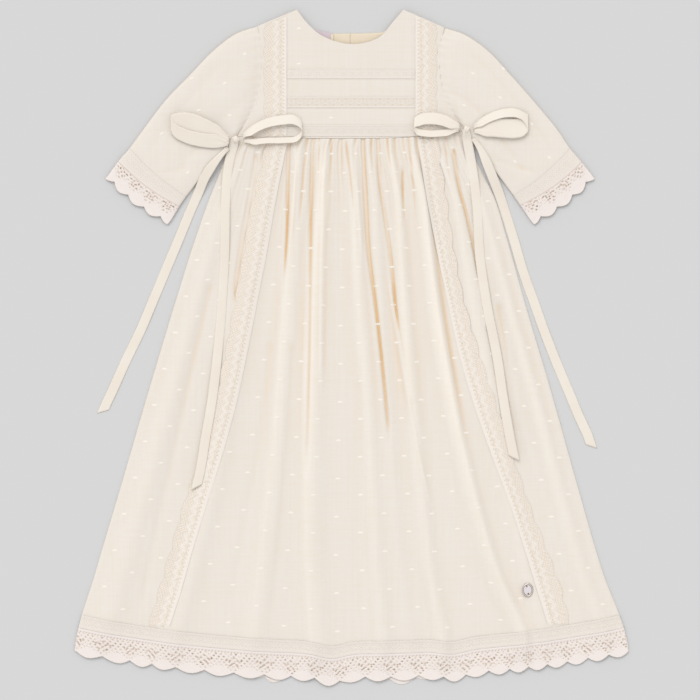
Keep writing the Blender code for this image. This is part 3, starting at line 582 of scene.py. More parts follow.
def finished(name, mesh, finish, nodes=None):
    """Puts a mesh in the scene as a piece of the gown, for the CAD node in its name or for nodes."""
    made = bpy.data.objects.new(name, mesh)
    bpy.context.scene.collection.objects.link(made)
    mesh.materials.append(finish)
    mesh.shade_smooth()
    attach(made, "root")
    nodes = [name.rsplit("_", 1)[0]] if nodes is None else nodes
    if nodes:
        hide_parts(*nodes)
    GOWN.append(made)
    return made


def mesh_of(name, points, faces):
    mesh = bpy.data.meshes.new(name)
    mesh.from_pydata((np.asarray(points, float).reshape(-1, 3) * MM).tolist(), [], faces.tolist())
    mesh.update()
    return mesh


def mark(mesh, name, values):
    """Keeps a number at each point, which the finish reads."""
    layer = mesh.attributes.new(name, "FLOAT", "POINT")
    layer.data.foreach_set("value", np.asarray(values, np.float32).ravel())


def spread(x, y, z):
    return np.stack(np.broadcast_arrays(x, y, z), axis=-1)


def grid_faces(rows, wide, closed=False):
    index = np.arange(rows * wide).reshape(rows, wide)
    if closed:
        index = np.column_stack([index, index[:, 0]])
    corners = (index[:-1, :-1], index[1:, :-1], index[1:, 1:], index[:-1, 1:])
    return np.stack(corners, axis=-1).reshape(-1, 4)


def thickened(made, name, thick):
    """Gives a sheet its wall, below the points that it was made through."""
    plate = made.modifiers.new(name, "SOLIDIFY")
    plate.thickness = thick * MM
    plate.offset = -1.0


def cloth(name, points, finish, nodes=None, closed=False, wall=0.0, painted_shade=None):
    """A sheet through a grid of points, with the wall below it where the wall shows."""
    mesh = mesh_of(name, points, grid_faces(*points.shape[:2], closed))
    # The painted shade of the creases, which the finish reads
    if painted_shade is not None:
        mark(mesh, "painted_shade", painted_shade)
    made = finished(name, mesh, finish, nodes)
    if wall:
        thickened(made, "wall", wall)
    return made


def painted_crease_shade(heights, reach):
    """Painted shade of the creases: how far each point of a grid lies below the cloth around it, from 0 to 1
    in the deepest.
    """
    rows, wide = heights.shape
    around = np.pad(heights, ((0, 0), (reach, reach)), mode="edge")
    around = sum(around[:, step : step + wide] for step in range(2 * reach + 1)) / (2 * reach + 1)
    around = np.pad(around, ((2, 2), (0, 0)), mode="edge")
    around = sum(around[step : step + rows] for step in range(5)) / 5.0
    return np.clip((around - heights) / HOLLOW_DEPTH, 0.0, 1.0) ** 1.1


def cut_to_pattern(points, amount, faces):
    """Keeps the part of each triangle where the amount of thread is above nought."""
    inside = amount[faces] > 0.0
    count = inside.sum(axis=1)
    pairs = []
    kept = [faces[count == 3]]
    new = len(points)
    made = []
    for corners_in in (1, 2):
        some = faces[count == corners_in]
        odd = (inside[count == corners_in] == (corners_in == 1)).argmax(axis=1)
        row = np.arange(len(some))
        a, b, c = (some[row, (odd + k) % 3] for k in range(3))
        pairs += [np.sort(np.column_stack([a, other]), axis=1) for other in (b, c)]
        made.append((a, b, c, corners_in))
    edges, where = np.unique(np.concatenate(pairs), axis=0, return_inverse=True)
    where = where.ravel()
    first, last = edges.T
    share = (amount[first] / (amount[first] - amount[last]))[:, None]
    points = np.concatenate([points, points[first] * (1.0 - share) + points[last] * share])
    start = 0
    for a, b, c, corners_in in made:
        ab = new + where[start : start + len(a)]
        ac = new + where[start + len(a) : start + 2 * len(a)]
        start += 2 * len(a)
        if corners_in == 1:
            kept.append(np.column_stack([a, ab, ac]))
        else:
            kept += [np.column_stack([ab, b, c]), np.column_stack([ab, c, ac])]
    used, faces = np.unique(np.concatenate(kept), return_inverse=True)
    return points[used], faces.reshape(-1, 3)


def lace(name, size, cell, pattern, lay, finish, relief=0.3, nodes=None):
    """Lace on a fine grid: pattern gives the thread at (along the lace, across it), lay puts it on the gown.

    Fine threads fill the ground between the main ones, so only the deepest openings are cut through.
    """
    long, wide = size
    steps = [max(int(round(side / cell)), 2) + 1 for side in size]
    u, v = np.meshgrid(np.linspace(0.0, long, steps[0]), np.linspace(0.0, wide, steps[1]), indexing="ij")
    amount = pattern(u, v)
    raised = np.clip(amount / 0.6, -1.0, 1.0)
    x, y, z = lay(u / long, v, relief * raised)
    points = np.stack([x, y, z, 0.5 + 0.5 * raised], axis=-1).reshape(-1, 4)
    quads = grid_faces(*steps)
    faces = np.concatenate([quads[:, [0, 1, 2]], quads[:, [0, 2, 3]]])
    points, faces = cut_to_pattern(points, amount.ravel() + GROUND, faces)
    mesh = mesh_of(name, points[:, :3], faces)
    # The height of the threads, which the finish turns into painted shade between them
    mark(mesh, "thread", points[:, 3])
    FLAT[name] = (long * MM, wide * MM)
    finished(name, mesh, finish, nodes)


# Patterns of the lace: above nought is thread, in millimetres from the thread's edge


def saw(value, pitch):
    """Distance to the nearest line of a set of lines a pitch apart."""
    return np.abs((value / pitch + 0.5) % 1.0 - 0.5) * pitch


def thread(distance, half):
    return half - np.abs(distance)


def net(u, v, pitch, half):
    """Two sets of slanted threads that cross in diamonds."""
    return np.maximum(half - saw(u + v, pitch) * 0.7, half - saw(u - v, pitch) * 0.7)


def grains(u, v, size):
    """The beads that the twist of the threads makes."""
    return np.cos(2.0 * np.pi * (u + 0.35 * v) / size) * np.cos(2.0 * np.pi * (v - 0.2 * u) / (0.86 * size))


def row_of_holes(u, v, middle, pitch, across, along, slant=0.0):
    """Above nought except in a row of oval holes."""
    way = np.hypot(saw(u + slant * (v - middle), pitch) / along, (v - middle) / across)
    return (way - 1.0) * min(across, along)


def close_ground(u, v, off, body):
    """Closely worked lace: uneven beads of thread, a little denser in a band that waves with the scallops."""
    drift = 0.8 * np.sin(u / 3.3 + 0.7 * np.sin(v / 2.1)) + 0.6 * np.sin(v / 1.9 - u / 6.1)
    beads = 0.05 + 0.42 * grains(u + drift, v, 2.4) + 0.22 * grains(u - drift, v + 0.7 * drift, 3.9)
    band = np.abs(v - (0.50 + 0.09 * np.cos(2.0 * off / 3.1)) * body) / body
    slits = row_of_holes(off, v, 0.30 * body, 5.4, 1.3, 0.8, 0.9)
    return np.minimum(beads + 0.35 * smooth_step(1.0 - band / 0.16), np.maximum(slits, -0.25))


def open_ground(u, v, off, cusp, body, least, higher):
    """Open lace: arcs, diamonds and rays of thread, with groups of pointed eyes where two scallops meet."""
    arcs = 0.55 - saw(np.hypot(0.80 * off, v + 0.20 * body), 2.9)
    crossed = net(u + 0.7 * np.sin(v / 2.6), v + 0.5 * np.sin(u / 4.1), 5.2, 0.72)
    rays = 0.16 - saw(off * (1.30 - 0.35 * (v / body)) + 0.15 * v, 2.6)
    amount = np.maximum(np.maximum(arcs, crossed), rays) + 0.16 * grains(u, v, 1.9)
    amount = np.maximum(amount, -least)
    for place, side in ((0.37, 0.0), (0.48, 3.1), (0.59, 0.0), (0.70, 3.1), (0.48, 6.3)):
        eye = np.abs(cusp - side) / 1.75 + np.abs(v - (place - higher) * body) / 0.95 - 1.0
        amount = np.minimum(amount, eye * 0.75)
    return amount


def edging(wide, pitch, deep, cord=0.9, pin=3.3, solid=0.83, least=0.5, higher=0.0, start=0.0, tips=None):
    """Scalloped lace: a cord, a row of small holes, the ground, and a dense edge from a share of the depth.

    Without that share, all of it is closely worked. Scallops are a pitch apart, or have their tips as told.
    """

    def pattern(u, v):
        u = u + 1.1 * np.sin(u / 37.0) + 0.5 * np.sin(u / 12.0)
        v = v + 0.35 * np.sin(u / 9.0) * np.sin(np.pi * np.clip(v / wide, 0.0, 1.0))
        phase = u / pitch + start
        if tips is not None:
            phase = np.interp(u, tips, np.arange(len(tips)) + 0.5)
        off = np.abs(phase % 1.0 - 0.5) * pitch
        body = wide - deep
        rim = body + deep * (1.0 - np.abs(2.0 * (phase % 1.0) - 1.0) ** 1.7) - v
        if solid is None:
            amount = close_ground(u, v, off, body)
        else:
            amount = open_ground(u, v, off, 0.5 * pitch - off, body, least, higher)
            dense = smooth_step((v / body - solid - 0.10 * np.cos(2.0 * np.pi * phase)) / 0.05)
            close = 0.42 + 0.16 * grains(u, v, 2.3) - 0.10 * np.cos(2.0 * np.pi * (rim + 0.4) / 2.2)
            amount = amount * (1.0 - dense) + close * dense
        holes = row_of_holes(u, v, 2.0 * cord + 1.3, pin, 1.0, 0.62, 0.8)
        amount = np.where(v < 2.0 * cord + 2.3, np.minimum(holes, 0.35 + 0.15 * grains(u, v, 1.9)), amount)
        corded = np.minimum(thread(v - cord, cord + 0.1), 0.36 + 0.2 * grains(u, v, 1.7))
        return np.minimum(np.maximum(amount, corded), 4.0 * rim - GROUND)

    return pattern


def insertion(wide, pitch, kind="ladder", foot=0.85):
    """Straight lace between two firm edges."""

    def pattern(u, v):
        amount = np.maximum(thread(v - 0.6, 0.85), thread(v - (wide - foot), foot + 0.2))
        middle = v - 0.5 * wide
        if kind == "ladder":
            inner = net(u, middle, pitch, 0.22 * pitch) + 0.12 * grains(u, v, 1.7)
            amount = np.maximum(amount, np.maximum(inner, -0.30))
            twists = 0.15 * np.cos(2.0 * np.pi * u / 1.8)
            for line in (0.24, 0.76):
                amount = np.maximum(amount, thread(v - line * wide, 0.55) + twists)
            lozenge = 1.5 - saw(u, 3.0 * pitch) * 0.7 - np.abs(middle)
            return np.maximum(amount, np.minimum(lozenge, 0.6))
        swing = (2.0 * saw(u, pitch) / pitch - 0.5) * (wide - 5.2)
        band = thread((middle - swing) * 0.85, 0.9)
        amount = np.maximum(amount, np.maximum(band, 0.08 + 0.18 * grains(u, v, 1.7)))
        for side in (-1.0, 1.0):
            step = saw(u + (0.5 * pitch if side > 0.0 else 0.0), pitch)
            eye = (np.hypot(step / 1.1, (middle - side * 0.26 * wide) / 0.8) - 1.0) * 0.45
            amount = np.minimum(amount, eye)
        return amount

    return pattern


# Materials


def linear(value):
    """A colour written as sRGB hex, as the shader takes it."""
    parts = [int(value[i : i + 2], 16) / 255.0 for i in (1, 3, 5)]
    return (*[c / 12.92 if c <= 0.04045 else ((c + 0.055) / 1.055) ** 2.4 for c in parts], 1.0)


def fill(tree, node, values=None, links=None):
    """Sets some sockets of a node, and feeds others."""
    for key, value in (values or {}).items():
        node.inputs[key].default_value = value
    for key, source in (links or {}).items():
        tree.links.new(source, node.inputs[key])
    return node


def add(tree, kind, values=None, links=None, **settings):
    """Adds a node: settings are its options, values its sockets, links the socket that feeds each of them."""
    made = tree.nodes.new("ShaderNode" + kind)
    for key, value in settings.items():
        setattr(made, key, value)
    return fill(tree, made, values, links)


def material(name):
    made = bpy.data.materials.new(name)
    made.use_nodes = True
    tree = made.node_tree
    shader = next(n for n in tree.nodes if n.type == "BSDF_PRINCIPLED")
    return made, tree, shader, add(tree, "TexCoord").outputs["Object"]


def weave(tree, place, pitch, turn=0.0):
    """Warp and weft as two sets of ribs; pitch is the distance between threads in millimetres."""
    turned = add(tree, "Mapping", {"Rotation": (0.0, 0.0, turn)}, {"Vector": place}).outputs["Vector"]
    sets = {}
    for key, (way, uneven) in enumerate((("X", 0.6), ("Y", 0.9))):
        values = {"Scale": WAVE_SCALE / (pitch * MM), "Distortion": uneven, "Detail": 1.0}
        sets[key] = add(tree, "TexWave", values, {"Vector": turned}, bands_direction=way).outputs["Fac"]
    return add(tree, "Math", None, sets, operation="ADD").outputs[0]


def cotton_batiste(name, light, warm, painted_shade_amount=0.8):
    """Fine woven cotton: matt and slightly open, with painted shade in its creases, a warm tan standing in
    for the light from the layers below.
    """
    made, tree, shader, place = material(name)
    patches = add(tree, "TexNoise", {"Scale": 22.0, "Detail": 3.0}, {"Vector": place}).outputs["Fac"]
    noises = []
    for stretch, scale in (((0.12, 1.0, 1.0), 900.0), ((1.0, 0.03, 1.0), 420.0), ((0.03, 1.0, 1.0), 420.0)):
        drawn = add(tree, "Mapping", {"Scale": stretch}, {"Vector": place}).outputs["Vector"]
        noise = add(tree, "TexNoise", {"Scale": scale, "Detail": 2.0}, {"Vector": drawn})
        noises.append(noise.outputs["Fac"])
    slubs, warp, weft = noises
    # Painted shade: the creases are tinted towards the warm colour, the deeper the more
    painted_shade = add(tree, "Attribute", attribute_name="painted_shade").outputs["Fac"]
    painted_crest_highlight = add(tree, "Attribute", attribute_name="painted_crest_highlight").outputs["Fac"]
    uneven = add(tree, "Math", None, {0: warp, 1: weft}, operation="ADD").outputs[0]
    faint = add(tree, "MapRange", {"From Min": 0.8, "From Max": 1.25, "To Max": 0.08}, {"Value": uneven})
    depth = add(tree, "Math", {1: painted_shade_amount}, {0: painted_shade}, operation="MULTIPLY").outputs[0]
    both = add(tree, "Math", {1: 0.06}, {0: patches, 2: depth}, operation="MULTIPLY_ADD").outputs[0]
    warmth = {0: both, 1: faint.outputs["Result"]}
    warmth = add(tree, "Math", None, warmth, operation="ADD", use_clamp=True).outputs[0]
    # Painted highlight: where the cloth stands up in a crest its colour is lighter
    values = {6: linear(light), 7: linear(CREST_PAINTED_HIGHLIGHT)}
    with_painted_highlight = add(tree, "Mix", values, {0: painted_crest_highlight}, data_type="RGBA").outputs[2]
    tint = add(tree, "Mix", {7: linear(warm)}, {0: warmth, 6: with_painted_highlight}, data_type="RGBA").outputs[2]
    # Threads are 0.35 mm apart, too fine to show, so the weave is drawn at 1.3 mm
    height = add(tree, "Math", None, {0: slubs, 1: weave(tree, place, 1.3)}, operation="MULTIPLY").outputs[0]
    values = {"Strength": 0.22, "Distance": 0.12 * MM}
    relief = add(tree, "Bump", values, {"Height": height}).outputs["Normal"]
    values = {"Roughness": 0.9, "Sheen Weight": 0.12, "Sheen Roughness": 0.5, "Specular IOR Level": 0.25}
    fill(tree, shader, values, {"Base Color": tint, "Normal": relief})
    return made


def cotton_lace(name, light, warm):
    """Bobbin lace of twisted cotton: matt raised threads, with painted shade in the ground between them, a
    warm tan standing in for the light through it.
    """
    made, tree, shader, place = material(name)
    values = {"Scale": 620.0, "Detail": 3.0, "Roughness": 0.65}
    grain = add(tree, "TexNoise", values, {"Vector": place}).outputs["Fac"]
    # Painted shade: the lower a thread lies, the nearer its colour to the warm shade colour
    raised = add(tree, "Attribute", attribute_name="thread").outputs["Fac"]
    shade = add(tree, "Math", {1: 0.16}, {0: grain, 2: raised}, operation="MULTIPLY_ADD").outputs[0]
    ramp = add(tree, "ValToRGB", None, {"Fac": shade})
    for stop, position, colour in zip(ramp.color_ramp.elements, (0.10, 0.80), (warm, light)):
        stop.position = position
        stop.color = linear(colour)
    # Threads are 0.3 mm thick, so their twist is drawn at 0.9 mm
    twist = weave(tree, place, 0.9, math.radians(38.0))
    height = add(tree, "Math", None, {0: twist, 1: grain}, operation="ADD").outputs[0]
    values = {"Strength": 0.4, "Distance": 0.2 * MM}
    relief = add(tree, "Bump", values, {"Height": height}).outputs["Normal"]
    values = {"Roughness": 0.92, "Sheen Weight": 0.1, "Specular IOR Level": 0.2}
    fill(tree, shader, values, {"Base Color": ramp.outputs["Color"], "Normal": relief})
    return made


def satin(name, light, warm):
    """Polyester satin: a soft gloss along the ribbon from its long floats, with fine ribs across."""
    made, tree, shader, place = material(name)
    patches = add(tree, "TexNoise", {"Scale": 35.0, "Detail": 2.0}, {"Vector": place}).outputs["Fac"]
    tint = add(tree, "Mix", {6: linear(light), 7: linear(warm)}, {0: patches}, data_type="RGBA").outputs[2]
    # Floats are 0.2 mm apart, drawn at 0.8 mm
    values = {"Scale": WAVE_SCALE / (0.8 * MM), "Distortion": 0.4}
    ribs = add(tree, "TexWave", values, {"Vector": place}, bands_direction="X").outputs["Fac"]
    values = {"Strength": 0.12, "Distance": 0.08 * MM}
    relief = add(tree, "Bump", values, {"Height": ribs}).outputs["Normal"]
    values = {"Roughness": 0.42, "Specular IOR Level": 0.45, "Sheen Weight": 0.1}
    fill(tree, shader, values, {"Base Color": tint, "Normal": relief})
    return made


def polished_steel(name, light, warm):
    """Stamped and tumbled steel: a soft mirror, with fine scratches that blur it."""
    made, tree, shader, place = material(name)
    worn = add(tree, "TexNoise", {"Scale": 900.0, "Detail": 3.0}, {"Vector": place}).outputs["Fac"]
    # Painted shade in the groove and round the holes, with random wear, darkens the steel towards its warm
    # colour
    painted_shade = add(tree, "Attribute", attribute_name="painted_shade").outputs["Fac"]
    wear_and_painted_shade = add(tree, "Math", {1: 0.25}, {0: worn, 2: painted_shade}, operation="MULTIPLY_ADD").outputs[0]
    tint = add(tree, "Mix", {6: linear(light), 7: linear(warm)}, {0: wear_and_painted_shade}, data_type="RGBA").outputs[2]
    rough = add(tree, "MapRange", {"To Min": 0.28, "To Max": 0.45}, {"Value": worn}).outputs["Result"]
    values = {"Strength": 0.08, "Distance": 0.05 * MM}
    relief = add(tree, "Bump", values, {"Height": worn}).outputs["Normal"]
    fill(tree, shader, {"Metallic": 1.0}, {"Base Color": tint, "Roughness": rough, "Normal": relief})
    return made


def studio_paper(name, light):
    """Matt seamless paper."""
    made, tree, shader, place = material(name)
    fibres = add(tree, "TexNoise", {"Scale": 300.0, "Detail": 2.0}, {"Vector": place}).outputs["Fac"]
    values = {"Strength": 0.02, "Distance": 0.05 * MM}
    relief = add(tree, "Bump", values, {"Height": fibres}).outputs["Normal"]
    values = {"Base Color": linear(light), "Roughness": 1.0, "Specular IOR Level": 0.0}
    fill(tree, shader, values, {"Normal": relief})
    return made


# The second colour of the cotton is the painted shade of its creases, mixed with its random patches and
# uneven weave
COTTON = cotton_batiste("plumeti cotton batiste", "#E0DAD2", "#D9B482", 0.88)
COTTON_INSIDE = cotton_batiste("inside of the cotton batiste", "#E0D3BE", "#CDB592")
DOT_THREAD = cotton_batiste("woven cotton dots", "#EBE4DA", "#E2D8C8")
# The second colour of each lace is the painted shade between its threads, darkest in the open lace
LACE = cotton_lace("cotton bobbin lace", "#E9E1D8", "#D1BFA6")
BAND_LACE = cotton_lace("cotton insertion lace", "#E2DAD1", "#CBBAA3")
OPEN_LACE = cotton_lace("cotton bobbin lace off the cloth", "#E8DFDA", "#BDA68C")
SATIN = satin("ivory satin ribbon", "#E6DED4", "#DED4C6")
# The woven label is left bare: smooth, and a little cooler than the cotton
LABEL = satin("bare satin label", "#CFC0C6", "#C3B2B8")
# Its second colour is the painted shade of the groove and holes, and of wear
STEEL = polished_steel("tumbled steel", "#F2EBEE", "#8F7F6C")
PAPER = studio_paper("studio paper", "#CBCBCB")


# The gown's pieces


def skirt_front():
    place, down = np.meshgrid(*(np.linspace(0.0, 1.0, count) for count in SKIRT_GRID))
    x, y = skirt_point(place, down**1.1)
    z = skirt_top(x, y)
    # Painted shade in the creases: below the middle of the skirt they are shallow, and take hardly any of it
    painted_shade = painted_crease_shade(z, 4) * (0.12 + 0.88 * smooth_step((y + 150.0) / 170.0))
    # The gathered edge turns down and runs on under the bodice
    x = np.concatenate([x[:1], x[:1], x])
    y = np.concatenate([y[:1] + 1.5, y[:1] + 0.2, y])
    z = np.concatenate([np.minimum(z[:1], 1.7), np.minimum(z[:1], 2.0), z])
    painted_shade = np.concatenate([painted_shade[:1], painted_shade[:1], painted_shade])
    made = cloth("skirt_front_cloth", spread(x, y, z), COTTON, painted_shade=painted_shade)
    # Painted highlight on the crests, less so towards the hem, where the folds open out
    above_hem = smooth_step((y + 260.0) / 300.0)
    painted_crest_highlight = np.clip((z - CREST_FOOT) / CREST_RISE, 0.0, 1.0) * (0.35 + 0.65 * above_hem)
    mark(made.data, "painted_crest_highlight", painted_crest_highlight)


def skirt_back():
    """A shallow tube that lies on the floor, wavy below, with its open ends closed."""
    place, down = np.meshgrid(*(np.linspace(0.0, 1.0, count) for count in SKIRT_BACK_GRID))
    x, y = skirt_point(place, down)
    troughs = np.sin(34.0 * place + 2.0 * np.sin(3.0 * down)) * np.sin(11.0 * place + 4.0 * down)
    foot = 0.08 + 0.55 * smooth_step(troughs) * smooth_step(np.minimum(place, 1.0 - place) * 12.0)
    ring = np.concatenate([spread(x, y, 0.95), spread(x, y, foot)[:, ::-1]], axis=1)
    made = cloth("skirt_back_cloth", ring, COTTON, closed=True)
    shape = bmesh.new()
    shape.from_mesh(made.data)
    bmesh.ops.holes_fill(shape, edges=[edge for edge in shape.edges if edge.is_boundary])
    shape.to_mesh(made.data)
    shape.free()


def hem_point(place, drop):
    foot = hem_line(HEM_HALF * (2.0 * place - 1.0)) - drop
    left, right = skirt_sides(foot)
    return left + (right - left) * place, foot


def hem_front_lay(first, settle):
    def lay(place, v, raised):
        x, y = hem_point(place, first + v)
        z = skirt_top(x, y)
        low = 1.9 + 0.35 * np.sin(place * 60.0)
        z = z + (np.minimum(low, z) - z) * settle * smooth_step(v / 26.0)
        return x, y, z + 0.45 * smooth_step(3.0 - v) + HEM_LIFT + raised

    return lay


def hem_back_lay(first, lift):
    def lay(place, v, raised):
        x, y = hem_point(place, first + v)
        peek = sum(drop * bump(x - at, wide) for at, drop, wide in BACK_PEEKS)
        return x, y + (lift - peek) * smooth_step(v / 30.0), BACK_LACE_LIFT + raised

    return lay


def hem_laces():
    long, wide, deep = HEM_LONG, HEM_TIP - HEM_BAND, HEM_TIP - HEM_CUSP
    size = (long, HEM_BAND + LAP)
    band = insertion(HEM_BAND + LAP, 3.4, foot=1.3)
    lace("hem_insertion_front_lace", size, 0.6, band, hem_front_lay(-LAP, 0.0), BAND_LACE)
    lace("hem_insertion_back_lace", size, 0.9, band, hem_back_lay(SEAM, 0.0), BAND_LACE)
    size, pitch = (long, wide), long / HEM_SCALLOPS
    front = edging(wide, pitch, deep, tips=np.array(HEM_TIPS) * long)
    lace("hem_edging_front_lace", size, 0.62, front, hem_front_lay(HEM_BAND, 0.75), OPEN_LACE)
    even = edging(wide, pitch, deep)

    def back(u, v):
        return even(u + 0.5 * pitch, v)

    lace("hem_edging_back_lace", size, 0.95, back, hem_back_lay(HEM_BAND, 3.0), OPEN_LACE)


def skirt_laces():
    long, wide = SKIRT_LACE_SIZE
    for side, table in SKIRT_LACE.items():
        top, foot = table[0][0], table[-1][0]

        def lay(share, v, raised):
            along = top + (foot - 4.0 - top) * share
            straight = through(table, along, 2)
            across = straight + (through(table, along, 1) - straight) * v / wide
            tuck = 0.7 * smooth_step((foot + 2.0 - along) / 4.0)
            sewn = 0.10 + 0.26 * smooth_step(v / 6.0)
            return across, along, bed(skirt_top, across, along) + sewn - tuck + raised

        pattern = edging(wide, long / SKIRT_LACE_SCALLOPS, 3.0, 1.5, 4.4, solid=None)
        lace(f"skirt_lace_{side}_lace", (long, wide), 0.62, pattern, lay, LACE)


def sleeve_surface(side, row, share, upper):
    """A point on the upper or the under layer of a sleeve."""
    x, y = sleeve_point(side, row, share)
    height = sleeve_columns(side, row)[5]
    height = height - (height - FRONT_EDGE - 0.1) * np.clip(1.0 - row, 0.0, 1.0) ** 2
    near = np.abs(2.0 * share - 1.0)
    if not upper:
        return x, y, 0.08 + 0.5 * height * (1.0 - np.sqrt(1.0 - near**14))
    z = 0.5 * height * (1.0 + np.sqrt(np.maximum(1.0 - near**8, 0.0)))
    inside = smooth_step((1.0 - near) * 6.0)
    for high, wide, line in SLEEVE_CREASES[side]:
        fade = smooth_step((row - line[0][0]) / 0.35) * smooth_step((line[-1][0] - row) / 0.8)
        z = z + high * bump(share - through(line, row), wide) * fade * inside
    head = np.exp(-np.maximum(row, 0.0) / 0.35) * np.sin(share * 84.0 + 2.0 * np.sin(share * 9.0))
    drape = np.sin(1.9 * row + 5.0 * share) * np.sin(7.0 * share - 0.8 * row + 1.0)
    return x, y, z + (0.20 * head + 0.16 * drape) * inside


def sleeve_top(side):
    """Height of a sleeve's upper layer, from the nearest of a close set of its points."""
    rows, shares = np.meshgrid(np.linspace(0.0, BAND_ROW, 181), np.linspace(0.02, 0.98, 121), indexing="ij")
    points = spread(*sleeve_surface(side, rows, shares, True)).reshape(-1, 3)

    def top(x, y):
        x, y = np.broadcast_arrays(x, y)
        gaps = (points[None, :, 0] - x.reshape(-1, 1)) ** 2 + (points[None, :, 1] - y.reshape(-1, 1)) ** 2
        return points[gaps.argmin(axis=1), 2].reshape(x.shape)

    return top


def sleeve_clothes():
    # Points lie closer together towards the two edges, where the sleeve turns over
    even = np.linspace(0.0, 1.0, SLEEVE_GRID[1])
    shares = 0.35 * (0.5 - 0.5 * np.cos(np.pi * even)) + 0.65 * even
    row, share = np.meshgrid(np.linspace(-0.12, BAND_ROW, SLEEVE_GRID[0]), shares, indexing="ij")
    for side in SLEEVES:
        upper = spread(*sleeve_surface(side, row, share, True))
        under = spread(*sleeve_surface(side, row, share, False))[:, -2:0:-1]
        ring = np.concatenate([upper, under], axis=1)
        # Painted shade in the creases of the upper layer
        painted_shade = np.concatenate([painted_crease_shade(upper[..., 2], 3) * (row > 0.15), 0.0 * under[..., 2]], axis=1)
        if side == "right":
            ring, painted_shade = ring[:, ::-1], painted_shade[:, ::-1]
        cloth(f"sleeve_{side}_cloth", ring, COTTON, closed=True, painted_shade=painted_shade)


def cuff_lay(side, first, last, plain, layer):
    """Puts a cuff lace on one layer of the sleeve, and straight on past its end."""
    way = sleeve_way(side)

    def lay(share, v, raised):
        row = first + (last - first) * np.minimum(v / plain, 1.0)
        beyond = np.maximum(v - plain, 0.0)
        x, y, z = sleeve_surface(side, row, share, layer == "upper")
        if layer == "upper":
            z = z + CUFF_LIFT
            sinking = smooth_step((row - FELL_ROW) / 1.2 + beyond / 12.0)
            z = z + (np.minimum(CUFF_SETTLED, z) - z) * 0.7 * sinking
        else:
            z = z + CUFF_LIFT_UNDER
        return x + way[0] * beyond, y + way[1] * beyond, z + raised

    return lay


def cuff_laces():
    for side in SLEEVES:
        for piece, first, last, extra, finish in (
            ("cuff_insertion", BAND_ROW, FELL_ROW, 0.0, BAND_LACE),
            ("cuff_edging", FELL_ROW, END_ROW, CUFF_DEPTH, OPEN_LACE),
        ):
            spots = ((first, 0.5), (last, 0.5), (last, 0.0), (last, 1.0))
            start, end, top, under = (np.array(sleeve_point(side, *spot)) for spot in spots)
            wide = float(np.linalg.norm(end - start)) + extra
            long = float(np.linalg.norm(under - top))
            pattern = insertion(wide, 3.2)
            if extra:
                pitch = long / CUFF_SCALLOPS
                pattern = edging(wide, pitch, 4.4, 0.35, 1.9, solid=0.64, least=0.46, higher=0.2, start=0.5)
            for layer, nodes in (("upper", None), ("under", ())):
                lay = cuff_lay(side, first, last, wide - extra, layer)
                lace(f"{piece}_{side}_{layer}", (long, wide), 0.6, pattern, lay, finish, 0.22, nodes)


def filled_between(neck, top, wide, tall):
    """Points that fill a bodice panel between its shoulders and neck, armholes and waist."""
    shares = np.linspace(0.0, 1.0, tall)
    left = np.column_stack(sleeve_point("left", 0, shares))
    right = np.column_stack(sleeve_point("right", 0, shares))
    shoulder = int(wide * 0.18)
    steps = np.linspace(0.0, 1.0, shoulder + 1)[:, None]
    start, end = np.array(neck[0]), np.array(neck[-1])
    first = left[0] + (start - left[0]) * steps[:-1]
    last = end + (right[0] - end) * steps[1:]
    upper = np.concatenate([first, route(neck, wide - 2 * shoulder - 1), last])
    span = (upper[:, 0] - upper[0, 0]) / (upper[-1, 0] - upper[0, 0])
    foot = left[-1][0] + (right[-1][0] - left[-1][0]) * span
    lower = np.column_stack([foot, waist_line(foot) + 0.3])
    lower[0], lower[-1] = left[-1], right[-1]
    u = span[None, :, None]
    v = shares[:, None, None]
    corners = (1 - u) * ((1 - v) * upper[0] + v * lower[0]) + u * ((1 - v) * upper[-1] + v * lower[-1])
    points = (1 - v) * upper[None] + v * lower[None] + (1 - u) * left[:, None] + u * right[:, None] - corners
    x, y = points[..., 0], points[..., 1]
    return spread(x, y, top(x, y))


def bodice():
    points = filled_between(FRONT_NECK, bodice_top, *BODICE_GRID)
    # Painted shade in the bodice's creases, fainter than on the skirt
    cloth("bodice_front_cloth", points, COTTON, painted_shade=painted_crease_shade(points[..., 2], 3) * 0.6, wall=0.5)
    back = filled_between(BACK_NECK, lambda x, y: BACK_TOP - 0.1, *BODICE_BACK_GRID)
    middle = back.shape[1] // 2
    for side, part in (("left", back[:, : middle + 1]), ("right", back[:, middle:])):
        cloth(f"bodice_back_{side}_cloth", part, COTTON_INSIDE, wall=0.7)


def inside_of_back():
    x, y = np.meshgrid(np.linspace(*PLACKET_ACROSS, 15), np.linspace(*PLACKET_ALONG, 60))
    z = BACK_TOP + 0.35 + 0.1 * np.sin(y / 9.0)
    cloth("back_placket_cloth", spread(x, y, z), COTTON_INSIDE, wall=0.4)
    share, drop = np.meshgrid(np.linspace(0.0, 1.0, 30), np.linspace(0.0, LABEL_DROP, 16))
    x = LABEL_LEFT + (LABEL_RIGHT - LABEL_LEFT) * share
    y = LABEL_TOP[0] + (LABEL_TOP[1] - LABEL_TOP[0]) * share - drop
    z = BACK_TOP + 0.5 + 0.25 * np.sin(share * np.pi)
    cloth("neck_label_cloth", spread(x, y, z), LABEL, wall=0.25)
    x, y = np.meshgrid(np.linspace(*TAB_ACROSS, 6), np.linspace(*TAB_ALONG, 12))
    z = BACK_TOP + 1.1 + 0.1 * np.sin(y)
    cloth("label_tab_cloth", spread(x, y, z), COTTON_INSIDE, nodes=(), wall=0.25)


